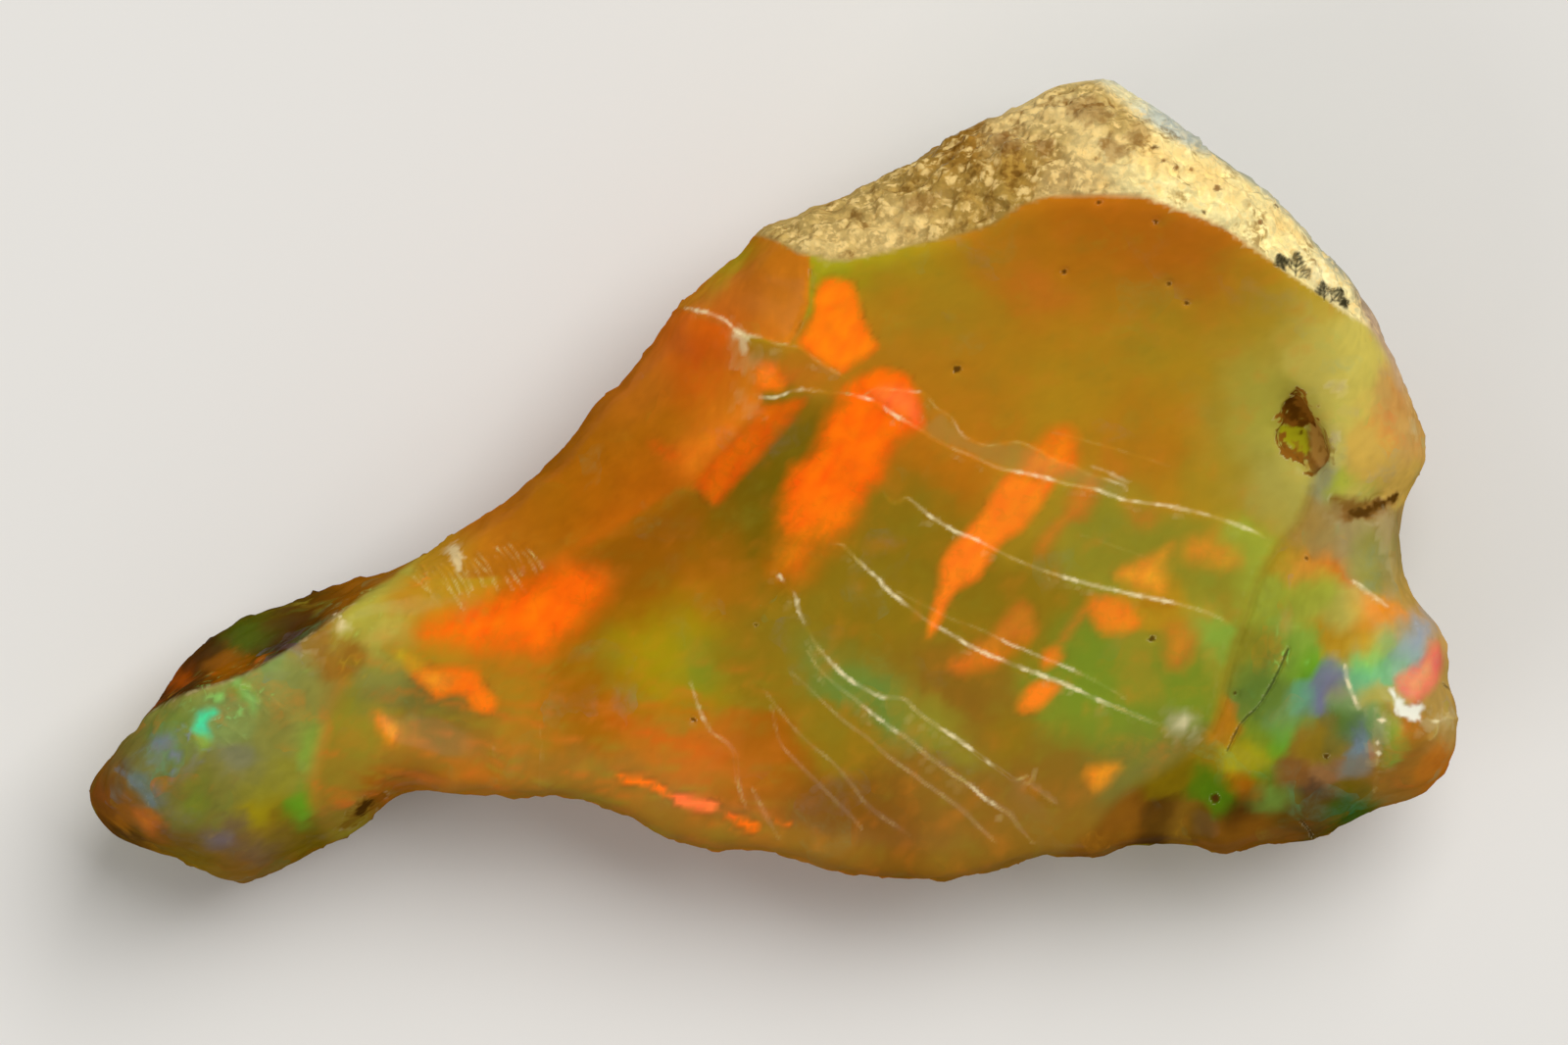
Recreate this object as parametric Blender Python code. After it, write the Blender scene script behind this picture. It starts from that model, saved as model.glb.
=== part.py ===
"""Rough opal: one piece broken from a nodule, lying on its back.

The stone is drawn in plan first, as the outline that it shows from above.
A slab of that outline is then given its real front and back, which are two
heights over each place of the plan. The front is a shell-shaped scar with
a ridge round its head. Outside the ridge lie a bevelled break on the left
and the rind of the nodule at the top. A knob stands on the right, and a
narrow neck leads to a thick tail on the left. The back is the rounded
outside of the nodule, broken by a few flat faces, with two worn flats
that the stone rests on.

Lengths are in millimetres here, and the mesh is made in metres. The origin
is on the resting plane, under the middle of the outline's box. X runs
along the stone towards its knob, Y towards the rind's crest, and Z up.
"""

import math
from typing import NamedTuple

import bmesh
import bpy
import numpy as np
from mathutils import Vector, noise

MM = 0.001

# Driving dimensions of the front.
DISH_LOW_POINT = (6.0, -6.5)
DISH_FLOOR = 4.3  # height of the scar's lowest place
DISH_RISE_ALONG = 0.0076  # rise along X, per millimetre squared
DISH_RISE_ACROSS = 0.029  # rise along Y, per millimetre squared
KNOB_RISE = 2.2
TAIL_RIDGE_HEIGHT = 7.6
LOBE_HEIGHT = 5.3
SHELF_DROP = 1.6
SKIN_FALL = 1.3  # how steeply the nodule's skin turns down beyond the rind

# Driving dimensions of the back and the edge.
EDGE_WALL = 0.5  # height of the broken wall left at the outline
REST_DEPTH = 0.3  # how deep the two resting flats are worn
BACK_BLEND = 0.5  # how softly the back's rounds run together
BREAK_SIDE = 1.1  # how steeply the faces beside a break fall away from it

# How finely the stone is worked, and how many triangles it keeps.
SLAB_THICKNESS = 3.0
OUTLINE_STEP = 0.3
SLAB_VOXEL = 0.25
WORK_VOXEL = 0.2
TRIANGLES = 9600


class Edge(NamedTuple):
    """A stretch of the outline, and how the front and the back curve in to it.

    The edge lies at a share of the height there. The front and the back
    each start to curve towards it from their reach inside the outline.
    """

    points: tuple
    share: float
    front_reach: float
    back_reach: float


# The outline seen from above, clockwise from the tip of the tail.
OUTLINE = {
    "tail and lobe": Edge(
        (
            (-17.55, -8.1), (-17.3, -7.5), (-16.8, -6.85), (-16.1, -6.15), (-15.85, -5.7),
            (-15.3, -4.85), (-14.5, -4.05), (-13.7, -3.5), (-12.6, -3.1), (-11.9, -2.95),
            (-11.2, -2.65), (-10.3, -2.35), (-9.5, -2.15),
        ), 0.5, 1.1, 2.6,
    ),
    "bevel": Edge(
        (
            (-8.8, -1.75), (-8.0, -1.2), (-7.4, -0.8), (-6.9, -0.5), (-6.3, 0.0), (-5.6, 0.6),
            (-5.0, 1.35), (-4.2, 2.35), (-3.85, 2.55), (-3.4, 3.2), (-2.75, 3.9),
            (-2.45, 4.4), (-1.9, 4.85), (-1.35, 5.45), (-0.95, 5.6), (-0.65, 5.9),
            (-0.5, 6.3), (-0.2, 6.6),
        ), 0.72, 0.4, 2.5,
    ),
    "rind": Edge(
        (
            (0.35, 6.65), (1.1, 7.05), (1.9, 7.3), (2.6, 7.7), (3.7, 8.2), (4.5, 8.8),
            (5.6, 9.35), (6.4, 9.65), (7.1, 10.05), (8.1, 10.3), (8.8, 10.2), (9.6, 9.7),
            (10.3, 9.2), (11.0, 8.6), (12.1, 7.8), (13.0, 7.1), (13.6, 6.4), (14.5, 5.5),
        ), 0.56, 1.3, 4.5,
    ),
    "shoulder": Edge(
        ((15.05, 4.8), (15.5, 3.95), (16.0, 2.95), (16.4, 1.95), (16.65, 1.1), (16.72, 0.5)),
        0.55, 2.3, 4.0,
    ),
    "knob": Edge(
        (
            (16.4, 0.0), (16.15, -0.5), (16.05, -1.3), (16.2, -2.4), (16.5, -3.1),
            (17.1, -3.7), (17.38, -4.2), (17.25, -4.8), (17.45, -5.5), (17.55, -6.4),
            (17.45, -7.1), (16.9, -7.8), (16.4, -8.15), (15.9, -8.2), (15.4, -8.5),
            (14.8, -8.7), (14.2, -9.05), (13.7, -9.25), (12.9, -9.2), (12.2, -9.4),
        ), 0.55, 2.2, 3.5,
    ),
    "belly": Edge(
        (
            (11.5, -9.62), (10.9, -9.38), (9.7, -9.27), (8.8, -9.35), (8.3, -9.65),
            (7.4, -9.6), (6.5, -9.62), (6.05, -9.85), (5.1, -10.05), (4.4, -10.28),
            (3.1, -10.12), (2.3, -10.1), (1.0, -9.75), (0.1, -9.5), (-0.6, -9.42),
            (-1.6, -9.38), (-3.0, -9.0), (-3.7, -8.6), (-4.5, -8.25), (-5.3, -8.02),
            (-6.2, -8.1), (-7.5, -8.03), (-9.3, -7.95),
        ), 0.84, 0.6, 3.0,
    ),
    "under the tail": Edge(
        (
            (-9.8, -8.15), (-10.2, -8.6), (-10.8, -8.95), (-11.3, -9.2), (-11.9, -9.52),
            (-12.7, -9.9), (-13.1, -10.2), (-13.6, -10.3), (-14.2, -10.12), (-14.7, -9.95),
            (-15.4, -9.6), (-16.4, -9.3), (-17.0, -8.9), (-17.45, -8.4),
        ), 0.5, 1.2, 2.6,
    ),
}  # fmt: skip

# Ridges and folds of the front, each drawn right across what it parts.
RIM = (
    (-10.4, -2.9), (-9.2, -3.35), (-8.0, -3.2), (-6.5, -2.55), (-5.0, -1.85), (-3.0, -0.7),
    (-1.3, 0.8), (-0.1, 2.1), (0.45, 3.4), (0.95, 4.6), (1.3, 5.4), (3.0, 5.7), (5.0, 6.3),
    (6.5, 6.95), (8.0, 7.2), (10.0, 7.0), (12.0, 6.0), (14.0, 4.65), (15.1, 3.95), (16.8, 2.9),
)  # fmt: skip
SKIN_EDGE = (
    (7.4, 11.4), (8.2, 10.2), (9.6, 9.0), (11.2, 8.25), (12.4, 7.5), (13.4, 6.5), (14.4, 5.2),
    (15.1, 4.0), (16.5, 2.0),
)  # fmt: skip
TAIL_RIDGE = (
    (-16.9, -6.7), (-16.1, -6.05), (-14.9, -5.4), (-13.5, -4.95), (-12.3, -4.3), (-11.3, -3.6),
    (-10.2, -2.75), (-9.6, -2.4), (-8.9, -1.5),
)  # fmt: skip
TAIL_END = ((-17.4, -6.5), (-16.9, -7.15), (-15.9, -8.1), (-15.6, -8.8), (-15.5, -10.0))
LOWER_SHELF = ((-9.2, -7.5), (-9.9, -8.05), (-11.2, -9.0), (-11.8, -9.9))
KNOB_FOOT = (
    (14.2, 1.6), (13.7, 0.2), (13.2, -0.9), (12.2, -2.6), (11.9, -3.8), (11.5, -5.2),
    (10.8, -6.5), (9.5, -7.2), (8.2, -7.9), (7.3, -8.8), (6.7, -10.4),
)  # fmt: skip

# How the rim's lift above the dish, and the fall outside it, change along X.
RIM_LIFT = ((-10, 0.3), (-7, 0.9), (-3, 1.3), (0, 1.1), (2, 0.3), (6, 0.0), (18, 0.0))
RIM_FALL = ((-10, 0.35), (-6, 0.5), (-1, 0.62), (1, 0.5), (3, 0.62), (9, 0.66), (14, 0.5))


class Hollow(NamedTuple):
    """A pit, dent or chip of the front."""

    centre: tuple
    length: float
    width: float
    turn: float
    depth: float


HOLLOWS = (
    Hollow((13.45, 1.25), 2.5, 1.1, -72, 0.85),
    Hollow((15.2, -0.6), 1.9, 0.65, 17, 0.65),
    Hollow((-8.8, -5.75), 3.6, 1.7, -8, 0.35),
    Hollow((-10.7, -6.2), 4.6, 1.5, 82, 0.25),
    Hollow((-9.6, -4.65), 1.2, 0.5, -15, 0.25),
    Hollow((16.3, -4.5), 2.2, 1.5, 50, 0.5),
    Hollow((16.3, -5.9), 1.6, 0.9, -25, 0.4),
    Hollow((14.2, -7.0), 3.0, 1.8, 40, 0.35),
    Hollow((15.3, -2.0), 2.6, 1.4, -55, 0.4),
    Hollow((10.5, -8.9), 1.8, 1.1, 10, 0.35),
    Hollow((-13.9, -5.7), 1.8, 0.9, 25, 0.2),
    Hollow((-8.3, -1.9), 1.3, 0.5, -60, 0.3),
    Hollow((6.7, 8.4), 1.4, 0.6, 20, 0.3),
    Hollow((8.7, 8.3), 0.9, 0.5, 70, 0.3),
    Hollow((8.2, 9.4), 1.0, 0.5, -30, 0.25),
)


class Ledge(NamedTuple):
    """A step left in the scar, where the break jumped to another level."""

    points: tuple
    height: float


LEDGES = (
    Ledge(((-2.6, 4.5), (-0.9, 3.8), (0.4, 3.45), (2.0, 2.6)), 0.1),
    Ledge(((-0.8, 2.2), (1.9, 2.25), (3.6, 1.45), (5.6, 0.45), (8.4, -0.25), (12.9, -1.6)), 0.16),
    Ledge(((2.9, -0.3), (4.4, -1.2), (6.4, -2.1), (8.4, -2.65), (10.4, -3.1), (11.9, -3.7)), 0.1),
    Ledge(((1.5, -1.5), (3.0, -2.8), (4.9, -4.3), (7.0, -5.3), (9.0, -6.0), (10.2, -6.6)), 0.14),
    Ledge(((0.1, -2.3), (1.2, -4.3), (2.8, -5.7), (5.0, -7.0), (6.5, -8.0), (7.2, -8.6)), 0.12),
    Ledge(((0.4, -4.6), (1.5, -5.8), (2.8, -6.9), (4.3, -7.9), (5.6, -9.1)), 0.06),
    Ledge(((-6.2, -5.9), (-8.2, -5.1), (-9.3, -4.4), (-10.5, -3.3)), 0.16),
)


class Round(NamedTuple):
    """A part of the nodule's outside: its lowest place, height, and rise along X and Y."""

    centre: tuple
    lowest: float
    along: float
    across: float


BACK_ROUNDS = (
    Round((4.5, -1.0), 0.0, 0.0165, 0.026),
    Round((-5.5, -4.4), 0.75, 0.022, 0.13),
    Round((-13.0, -6.6), 0.0, 0.075, 0.11),
)


class Break(NamedTuple):
    """A flat face broken across the back: a place on it, which way it climbs, and how steeply."""

    place: tuple
    height: float
    heading: float
    slope: float
    width: float


BACK_BREAKS = (
    Break((-3.0, 1.6), 2.2, 136, 0.9, 9.0),
    Break((-1.8, -7.4), 1.9, -112, 0.9, 7.0),
    Break((5.5, -8.0), 1.8, -88, 1.0, 8.0),
    Break((13.6, -6.8), 1.0, -50, 0.7, 5.0),
    Break((-15.6, -7.4), 0.8, 195, 0.9, 3.5),
    Break((-12.2, -4.6), 1.3, 112, 0.9, 4.5),
    Break((14.6, 1.2), 1.6, 8, 1.1, 5.0),
    Break((7.0, 7.0), 1.8, 108, 0.9, 5.0),
)


def smooth_curve(points, closed, step):
    """Places about step apart on a Catmull-Rom curve through the given points."""
    knots = np.array(points, float)
    count = len(knots)
    found = []
    for i in range(count if closed else count - 1):
        if closed:
            a, b, c, d = (knots[(i + k) % count] for k in (-1, 0, 1, 2))
        else:
            b, c = knots[i], knots[i + 1]
            a = knots[i - 1] if i else 2 * b - c
            d = knots[i + 2] if i + 2 < count else 2 * c - b
        pieces = max(1, round(float(np.linalg.norm(c - b)) / step))
        for t in np.arange(pieces) / pieces:
            bend = (2 * a - 5 * b + 4 * c - d) * t * t + (3 * b - a - 3 * c + d) * t**3
            found.append(0.5 * (2 * b + (c - a) * t + bend))
    if not closed:
        found.append(knots[-1])
    return np.array(found)


def ease(low, high, value):
    """0 before low and 1 past high, with an S-shaped rise between them."""
    t = np.clip((value - low) / (high - low), 0, 1)
    return t * t * (3 - 2 * t)


class Line:
    """A smooth line over the plan."""

    def __init__(self, points, closed=False, step=0.35):
        self.points = smooth_curve(points, closed, step)
        ends = np.roll(self.points, -1, axis=0) if closed else self.points[1:]
        self.starts = self.points if closed else self.points[:-1]
        self.runs = ends - self.starts
        self.lengths = np.linalg.norm(self.runs, axis=1)
        self.before = np.concatenate([[0], np.cumsum(self.lengths)[:-1]])

    def measure(self, places):
        """The gap to each place, above 0 left of the line, and the foot of it on the line."""
        best = np.full(len(places), np.inf)
        side = np.zeros(len(places))
        foot = np.zeros((len(places), 2))
        along = np.zeros(len(places))
        for i, run in enumerate(self.runs):
            offset = places - self.starts[i]
            t = np.clip(offset @ run / self.lengths[i] ** 2, 0, 1)
            near = self.starts[i] + t[:, None] * run
            gap = np.linalg.norm(places - near, axis=1)
            closer = gap < best
            best[closer] = gap[closer]
            side[closer] = np.sign(run[0] * offset[:, 1] - run[1] * offset[:, 0])[closer]
            foot[closer] = near[closer]
            along[closer] = (self.before[i] + t * self.lengths[i])[closer]
        return best * side, foot, along


def by_x(places, stations):
    """A value that changes along the stone, from (x, value) pairs."""
    at, values = np.array(stations, float).T
    return np.interp(places[:, 0], at, values)


def dish(places):
    """The scar's own surface, a shallow shell that is open towards the belly."""
    x, y = (places - np.array(DISH_LOW_POINT)).T
    return DISH_FLOOR + DISH_RISE_ALONG * x**2 + DISH_RISE_ACROSS * y**2


def scar_and_breaks(places):
    """The dish, lifted towards its rim, and the faces that fall away outside the rim."""
    gap, foot, _ = Line(RIM).measure(places)
    lift = by_x(foot, RIM_LIFT)
    inside = dish(places) + lift * np.exp(-np.abs(gap) / 2.6)
    outside = dish(foot) + lift - by_x(foot, RIM_FALL) * gap
    front = np.where(gap > 0, outside, inside)
    skin, _, _ = Line(SKIN_EDGE).measure(places)
    return front - SKIN_FALL * np.clip(skin, 0, None) * ease(7.6, 9.0, places[:, 0])


def knob(places):
    """The knob's height over the scar, tallest at its middle."""
    gap, _, _ = Line(KNOB_FOOT).measure(places)
    y = places[:, 1]
    height = KNOB_RISE * ease(2.6, -2.5, y) * (1 - 0.55 * ease(-6.0, -9.0, y))
    return height * (1 - np.exp(-((np.clip(gap, 0, None) / 2.5) ** 1.15)))


def with_tail(places, front):
    """Carries the neck up into the tail's sloping face, with the lobe behind its ridge."""
    x = places[:, 0]
    gap, _, _ = Line(TAIL_RIDGE).measure(places)
    below = np.clip(-gap, 0, None)
    face = TAIL_RIDGE_HEIGHT - 0.30 * below - 0.055 * below**2
    end, _, _ = Line(TAIL_END).measure(places)
    face -= 0.85 * np.clip(-end, 0, None)
    share = ease(-8.4, -12.2, x)
    front = front * (1 - share) + face * share
    lobe = LOBE_HEIGHT - 0.035 * (x + 12.5) ** 2 - 0.3 * np.clip(gap, 0, None)
    behind = ease(0.0, 0.5, gap) * ease(-8.6, -9.8, x)
    return front * (1 - behind) + np.minimum(lobe, front) * behind


def lower_shelf(places):
    """How far the small shelf behind the neck's lower edge lies down."""
    gap, _, _ = Line(LOWER_SHELF).measure(places)
    x = places[:, 0]
    return SHELF_DROP * ease(0.0, 0.35, gap) * ease(-12.6, -11.6, x) * ease(-8.6, -9.3, x)


def turned(places, origin, heading):
    """How far ahead of the origin each place lies in this heading, and how far aside."""
    turn = math.radians(heading)
    x, y = (places - np.array(origin)).T
    return x * math.cos(turn) + y * math.sin(turn), y * math.cos(turn) - x * math.sin(turn)


def hollow_depth(places, hollow):
    """How far a hollow takes the front down."""
    ahead, aside = turned(places, hollow.centre, hollow.turn)
    within = 1 - (ahead * 2 / hollow.length) ** 2 - (aside * 2 / hollow.width) ** 2
    return hollow.depth * np.clip(within, 0, None) ** 0.8


def ledge_height(places, ledge):
    """A ledge stands up on the right of its line, and fades out at both ends."""
    line = Line(ledge.points)
    gap, _, along = line.measure(places)
    total = line.lengths.sum()
    fade = ease(0, 1.5, along) * ease(total, total - 1.5, along)
    return -ledge.height * fade * np.exp(-np.abs(gap) / 0.9) * np.clip(gap / 0.2, -1, 1)


def front_height(places):
    """Height of the front, before it curves down to the outline."""
    front = with_tail(places, scar_and_breaks(places) + knob(places)) - lower_shelf(places)
    front -= sum(hollow_depth(places, hollow) for hollow in HOLLOWS)
    return front + sum(ledge_height(places, ledge) for ledge in LEDGES)


def back_height(places):
    """Height of the back, before it curves up to the outline."""
    x, y = places.T
    weight = 0
    for part in BACK_ROUNDS:
        (cx, cy), lowest, along, across = part
        height = lowest + along * (x - cx) ** 2 + across * (y - cy) ** 2
        weight = weight + np.exp(-height / BACK_BLEND)
    back = -BACK_BLEND * np.log(weight) - REST_DEPTH
    for face in BACK_BREAKS:
        ahead, aside = turned(places, face.place, face.heading)
        past = np.clip(np.abs(aside) - face.width / 2, 0, None)
        back = np.maximum(back, face.height + face.slope * ahead - BREAK_SIDE * past)
    return back


def edge_profiles(line):
    """The share, front reach and back reach at each place of the outline, smoothed."""
    knots = np.array([point for edge in OUTLINE.values() for point in edge.points])
    values = np.array([edge[1:] for edge in OUTLINE.values() for _ in edge.points])
    nearest = [np.argmin(np.linalg.norm(knots - place, axis=1)) for place in line.points]
    spread = values[nearest]
    window = 9
    padded = np.concatenate([spread[-window:], spread, spread[:window]])
    kernel = np.ones(2 * window + 1) / (2 * window + 1)
    return np.array([np.convolve(column, kernel, mode="valid") for column in padded.T])


def quarter_round(inward, reach):
    """1 at the outline and 0 from reach inwards, as a quarter of an ellipse."""
    share = np.clip(1 - inward / reach, 0, 1)
    return 1 - np.sqrt(1 - share**2)


def outline_points():
    return [point for edge in OUTLINE.values() for point in edge.points]


def shape_front_and_back(stone):
    """Bends the slab between the front and the back, which meet in a low wall."""
    places = coordinates(stone.data)
    plan = places[:, :2]
    share = np.clip(places[:, 2] / SLAB_THICKNESS, 0, 1)
    line = Line(outline_points(), closed=True)
    gap, foot, along = line.measure(plan)
    inward = np.clip(-gap, 0, None)
    edge_share, front_reach, back_reach = (
        np.interp(along, line.before, profile, period=line.lengths.sum())
        for profile in edge_profiles(line)
    )
    edge = edge_share * front_height(foot)
    front, back = front_height(plan), back_height(plan)
    top_of_wall, foot_of_wall = edge + EDGE_WALL / 2, edge - EDGE_WALL / 2
    front -= np.clip(front - top_of_wall, 0, None) * quarter_round(inward, front_reach)
    back += np.clip(foot_of_wall - back, 0, None) * quarter_round(inward, back_reach)
    back = np.minimum(back, front - EDGE_WALL)
    height = back + (front - back) * share
    move_points(stone.data, np.column_stack([plan, height]))


def coordinates(mesh):
    """The mesh's points, in millimetres."""
    found = np.empty(len(mesh.vertices) * 3)
    mesh.vertices.foreach_get("co", found)
    return found.reshape(-1, 3) / MM


def directions(mesh):
    """Which way the mesh's surface faces at each of its points."""
    found = np.empty(len(mesh.vertices) * 3)
    mesh.vertices.foreach_get("normal", found)
    return found.reshape(-1, 3)


def move_points(mesh, places):
    mesh.vertices.foreach_set("co", (places * MM).ravel())
    mesh.update()


def bake_modifiers(stone):
    """Makes the modifiers' result the stone's own mesh."""
    graph = bpy.context.evaluated_depsgraph_get()
    made = bpy.data.meshes.new_from_object(stone.evaluated_get(graph))
    stone.modifiers.clear()
    stone.data = made


def remesh(stone, voxel):
    modifier = stone.modifiers.new("Remesh", "REMESH")
    modifier.mode = "VOXEL"
    modifier.voxel_size = voxel * MM
    bake_modifiers(stone)


def ease_off(stone):
    """Takes the steps left by the working grid off the surface."""
    modifier = stone.modifiers.new("Smooth", "SMOOTH")
    modifier.factor = 0.5
    modifier.iterations = 3
    bake_modifiers(stone)


def thin_out(stone):
    """Leaves the number of triangles that the stone keeps, most where it bends."""
    modifier = stone.modifiers.new("Decimate", "DECIMATE")
    modifier.ratio = TRIANGLES / (2 * len(stone.data.polygons))
    bake_modifiers(stone)


def slab():
    """A plate of the outline's shape."""
    shape = bmesh.new()
    ring = smooth_curve(outline_points(), True, OUTLINE_STEP)
    face = shape.faces.new([shape.verts.new((x * MM, y * MM, 0)) for x, y in ring])
    raised = bmesh.ops.extrude_face_region(shape, geom=[face])["geom"]
    top = [v for v in raised if isinstance(v, bmesh.types.BMVert)]
    bmesh.ops.translate(shape, verts=top, vec=(0, 0, SLAB_THICKNESS * MM))
    bmesh.ops.recalc_face_normals(shape, faces=shape.faces)
    mesh = bpy.data.meshes.new("rough_opal")
    shape.to_mesh(mesh)
    shape.free()
    stone = bpy.data.objects.new("rough_opal", mesh)
    bpy.context.scene.collection.objects.link(stone)
    return stone


def roughen(stone):
    """Adds the uneven skin of the back and the small lumps of the rind."""
    mesh = stone.data
    places, facing = coordinates(mesh), directions(mesh)
    rim, _, _ = Line(RIM).measure(places[:, :2])
    up = ease(-0.1, 0.3, facing[:, 2])
    rind = up * ease(0.0, 0.4, rim) * ease(0.0, 1.5, places[:, 0])
    back = ease(0.2, -0.3, facing[:, 2])
    swell = np.array([noise.noise(Vector(place) / 3.1) for place in places])
    lumps = np.array([noise.noise(Vector(place) / 0.9 + Vector((7, 3, 1))) for place in places])
    shift = 0.3 * swell * back + 0.14 * lumps * (rind + 0.6 * back)
    move_points(mesh, places + facing * shift[:, None])


def wear_resting_flats(stone):
    """Takes the back off at the resting plane, which leaves the flats that the stone lies on."""
    shape = bmesh.new()
    shape.from_mesh(stone.data)
    whole = shape.verts[:] + shape.edges[:] + shape.faces[:]
    cut = bmesh.ops.bisect_plane(
        shape, geom=whole, dist=1e-8, plane_co=(0, 0, 0), plane_no=(0, 0, -1), clear_outer=True
    )
    rings = [e for e in cut["geom_cut"] if isinstance(e, bmesh.types.BMEdge)]
    bmesh.ops.contextual_create(shape, geom=rings)
    bmesh.ops.triangulate(shape, faces=shape.faces)
    bmesh.ops.recalc_face_normals(shape, faces=shape.faces)
    shape.to_mesh(stone.data)
    shape.free()


def opal_material():
    material = bpy.data.materials.new("opal")
    material.use_nodes = True
    surface = material.node_tree.nodes["Principled BSDF"]
    surface.inputs["Base Color"].default_value = (0.42, 0.24, 0.05, 1)
    surface.inputs["Roughness"].default_value = 0.3
    surface.inputs["Metallic"].default_value = 0.0
    return material


def build():
    for old in list(bpy.data.objects):
        bpy.data.objects.remove(old)
    stone = slab()
    remesh(stone, SLAB_VOXEL)
    shape_front_and_back(stone)
    remesh(stone, WORK_VOXEL)
    roughen(stone)
    ease_off(stone)
    thin_out(stone)
    wear_resting_flats(stone)
    stone.data.materials.clear()
    stone.data.materials.append(opal_material())
    stone.data.shade_smooth()


build()
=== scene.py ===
"""Looks of a rough opal: a glassy scar full of fire, under a crust of rind.

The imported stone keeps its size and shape. A finer copy of it gets the thin
ledges of the break, the grain of the rind, and the pits and chips. The
colours lie in three layers that the material reads from the mesh: the body
of the opal, the fire in it, and the marks on its surface.

Lengths in the tables are millimetres over the plan of the stone, with X
towards its knob and Y towards the crest of its rind. The mesh is in metres.
"""

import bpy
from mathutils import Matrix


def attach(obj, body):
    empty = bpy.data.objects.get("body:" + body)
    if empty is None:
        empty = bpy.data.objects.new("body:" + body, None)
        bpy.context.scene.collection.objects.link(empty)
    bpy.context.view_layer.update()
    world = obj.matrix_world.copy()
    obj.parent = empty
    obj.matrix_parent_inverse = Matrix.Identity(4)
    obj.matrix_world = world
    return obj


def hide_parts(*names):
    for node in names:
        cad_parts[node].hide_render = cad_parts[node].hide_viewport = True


bl_info = {
    "name": "Rough Opal",
    "version": (1, 0, 0),
    "blender": (4, 5, 0),
    "location": "View3D > Sidebar > Opal",
    "description": "Makes a rough opal and a plain studio stage for it",
    "category": "Object",
}

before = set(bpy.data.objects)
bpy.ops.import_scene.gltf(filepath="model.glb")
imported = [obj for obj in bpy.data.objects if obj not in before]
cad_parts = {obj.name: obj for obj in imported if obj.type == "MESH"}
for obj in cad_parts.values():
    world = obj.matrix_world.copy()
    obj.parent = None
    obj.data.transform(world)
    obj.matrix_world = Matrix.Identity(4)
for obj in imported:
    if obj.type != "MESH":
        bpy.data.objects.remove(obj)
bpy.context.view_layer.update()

import math
from typing import NamedTuple

import bmesh
import bpy
import numpy as np
from bpy.props import FloatProperty, FloatVectorProperty, PointerProperty
from mathutils import Vector, noise

MM = 0.001
POINT_VALUES = ("play", "crust", "skin", "dull")  # shares that the mesh keeps for the material
BORDER_STEP = 0.35
CAD_NODE = "rough_opal"


class Patch(NamedTuple):
    """A soft-edged place of one colour, which may be stretched along its turn."""

    colour: str
    centre: tuple
    reach: float
    stretch: float = 1.0
    turn: float = 0.0


class Region(NamedTuple):
    """A part of the stone inside a border, with the patches that colour it.

    Its play says how strongly small loose flashes show in it, and its facets
    how far the colours gather into small domains.
    """

    border: tuple
    soft: float
    play: float
    patches: tuple
    facets: float = 0.2


class Flash(NamedTuple):
    """A sheet of fire in the opal, drawn by its outline."""

    colour: str
    strength: float
    soft: float
    points: tuple


class Trace(NamedTuple):
    """A thin line or a dot on the surface, and the step that it leaves there.

    The places between the two X values of a bright span are painted white, as a highlight where the
    edge of the step catches the light.
    """

    colour: str
    cover: float
    width: float
    step: float
    points: tuple
    bright: tuple = ()
    soft: float = 0.03


def ledge(cover, width, step, points, bright=()):
    """A step of the broken opal, whose edge catches the light."""
    return Trace("straw_light", cover, width, step, points, bright)


class Stain(NamedTuple):
    """A ragged patch of colour on the surface, drawn by its outline."""

    colour: str
    cover: float
    soft: float
    ragged: float
    points: tuple


# The folds that part the front, drawn right across it.
RIND_EDGE = (
    (-2.0, 6.9), (-0.6, 6.35), (0.3, 6.0), (0.6, 5.8), (1.0, 5.7), (1.5, 5.6), (2.0, 5.6),
    (2.7, 5.75), (3.5, 5.95), (4.2, 6.1), (5.0, 6.3), (5.6, 6.5), (6.1, 6.85), (6.8, 7.15),
    (7.5, 7.2), (9.3, 7.2), (9.8, 7.05), (10.3, 6.85), (10.7, 6.7), (11.4, 6.4), (12.0, 6.0),
    (12.6, 5.6), (13.0, 5.3), (13.4, 5.05), (14.0, 4.65), (14.5, 4.3), (15.15, 3.95),
    (17.0, 3.2),
)  # fmt: skip
SKIN_EDGE = (
    (6.8, 12.0), (8.3, 10.2), (9.0, 9.6), (9.3, 9.3), (10.5, 8.5), (11.2, 8.25), (11.7, 7.9),
    (12.2, 7.6), (12.8, 7.1), (13.3, 6.6), (13.7, 6.1), (14.2, 5.5), (14.7, 5.0), (15.0, 4.3),
    (15.15, 4.0), (15.8, 2.9), (16.3, 1.6), (18.0, 0.5),
)  # fmt: skip
BEVEL_RIDGE = (
    (-9.6, -2.3), (-7.6, -2.45), (-6.5, -2.3), (-5.5, -1.95), (-4.6, -1.6), (-3.7, -1.05),
    (-2.9, -0.5), (-2.2, -0.1), (-1.6, 0.4), (-1.0, 1.05), (-0.6, 1.5), (-0.2, 2.0),
)  # fmt: skip
CORNER_FOOT = (
    (-0.8, 3.75), (-0.3, 3.65), (0.1, 3.5), (0.45, 3.5), (0.75, 4.0), (0.95, 4.5), (0.95, 5.0),
    (0.95, 5.7),
)  # fmt: skip
TAIL_RIDGE = (
    (-19.0, -7.4), (-16.9, -6.7), (-16.1, -6.05), (-14.9, -5.4), (-13.5, -4.95), (-12.3, -4.3),
    (-11.3, -3.6), (-10.2, -2.75), (-9.4, -2.2),
)  # fmt: skip
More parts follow.
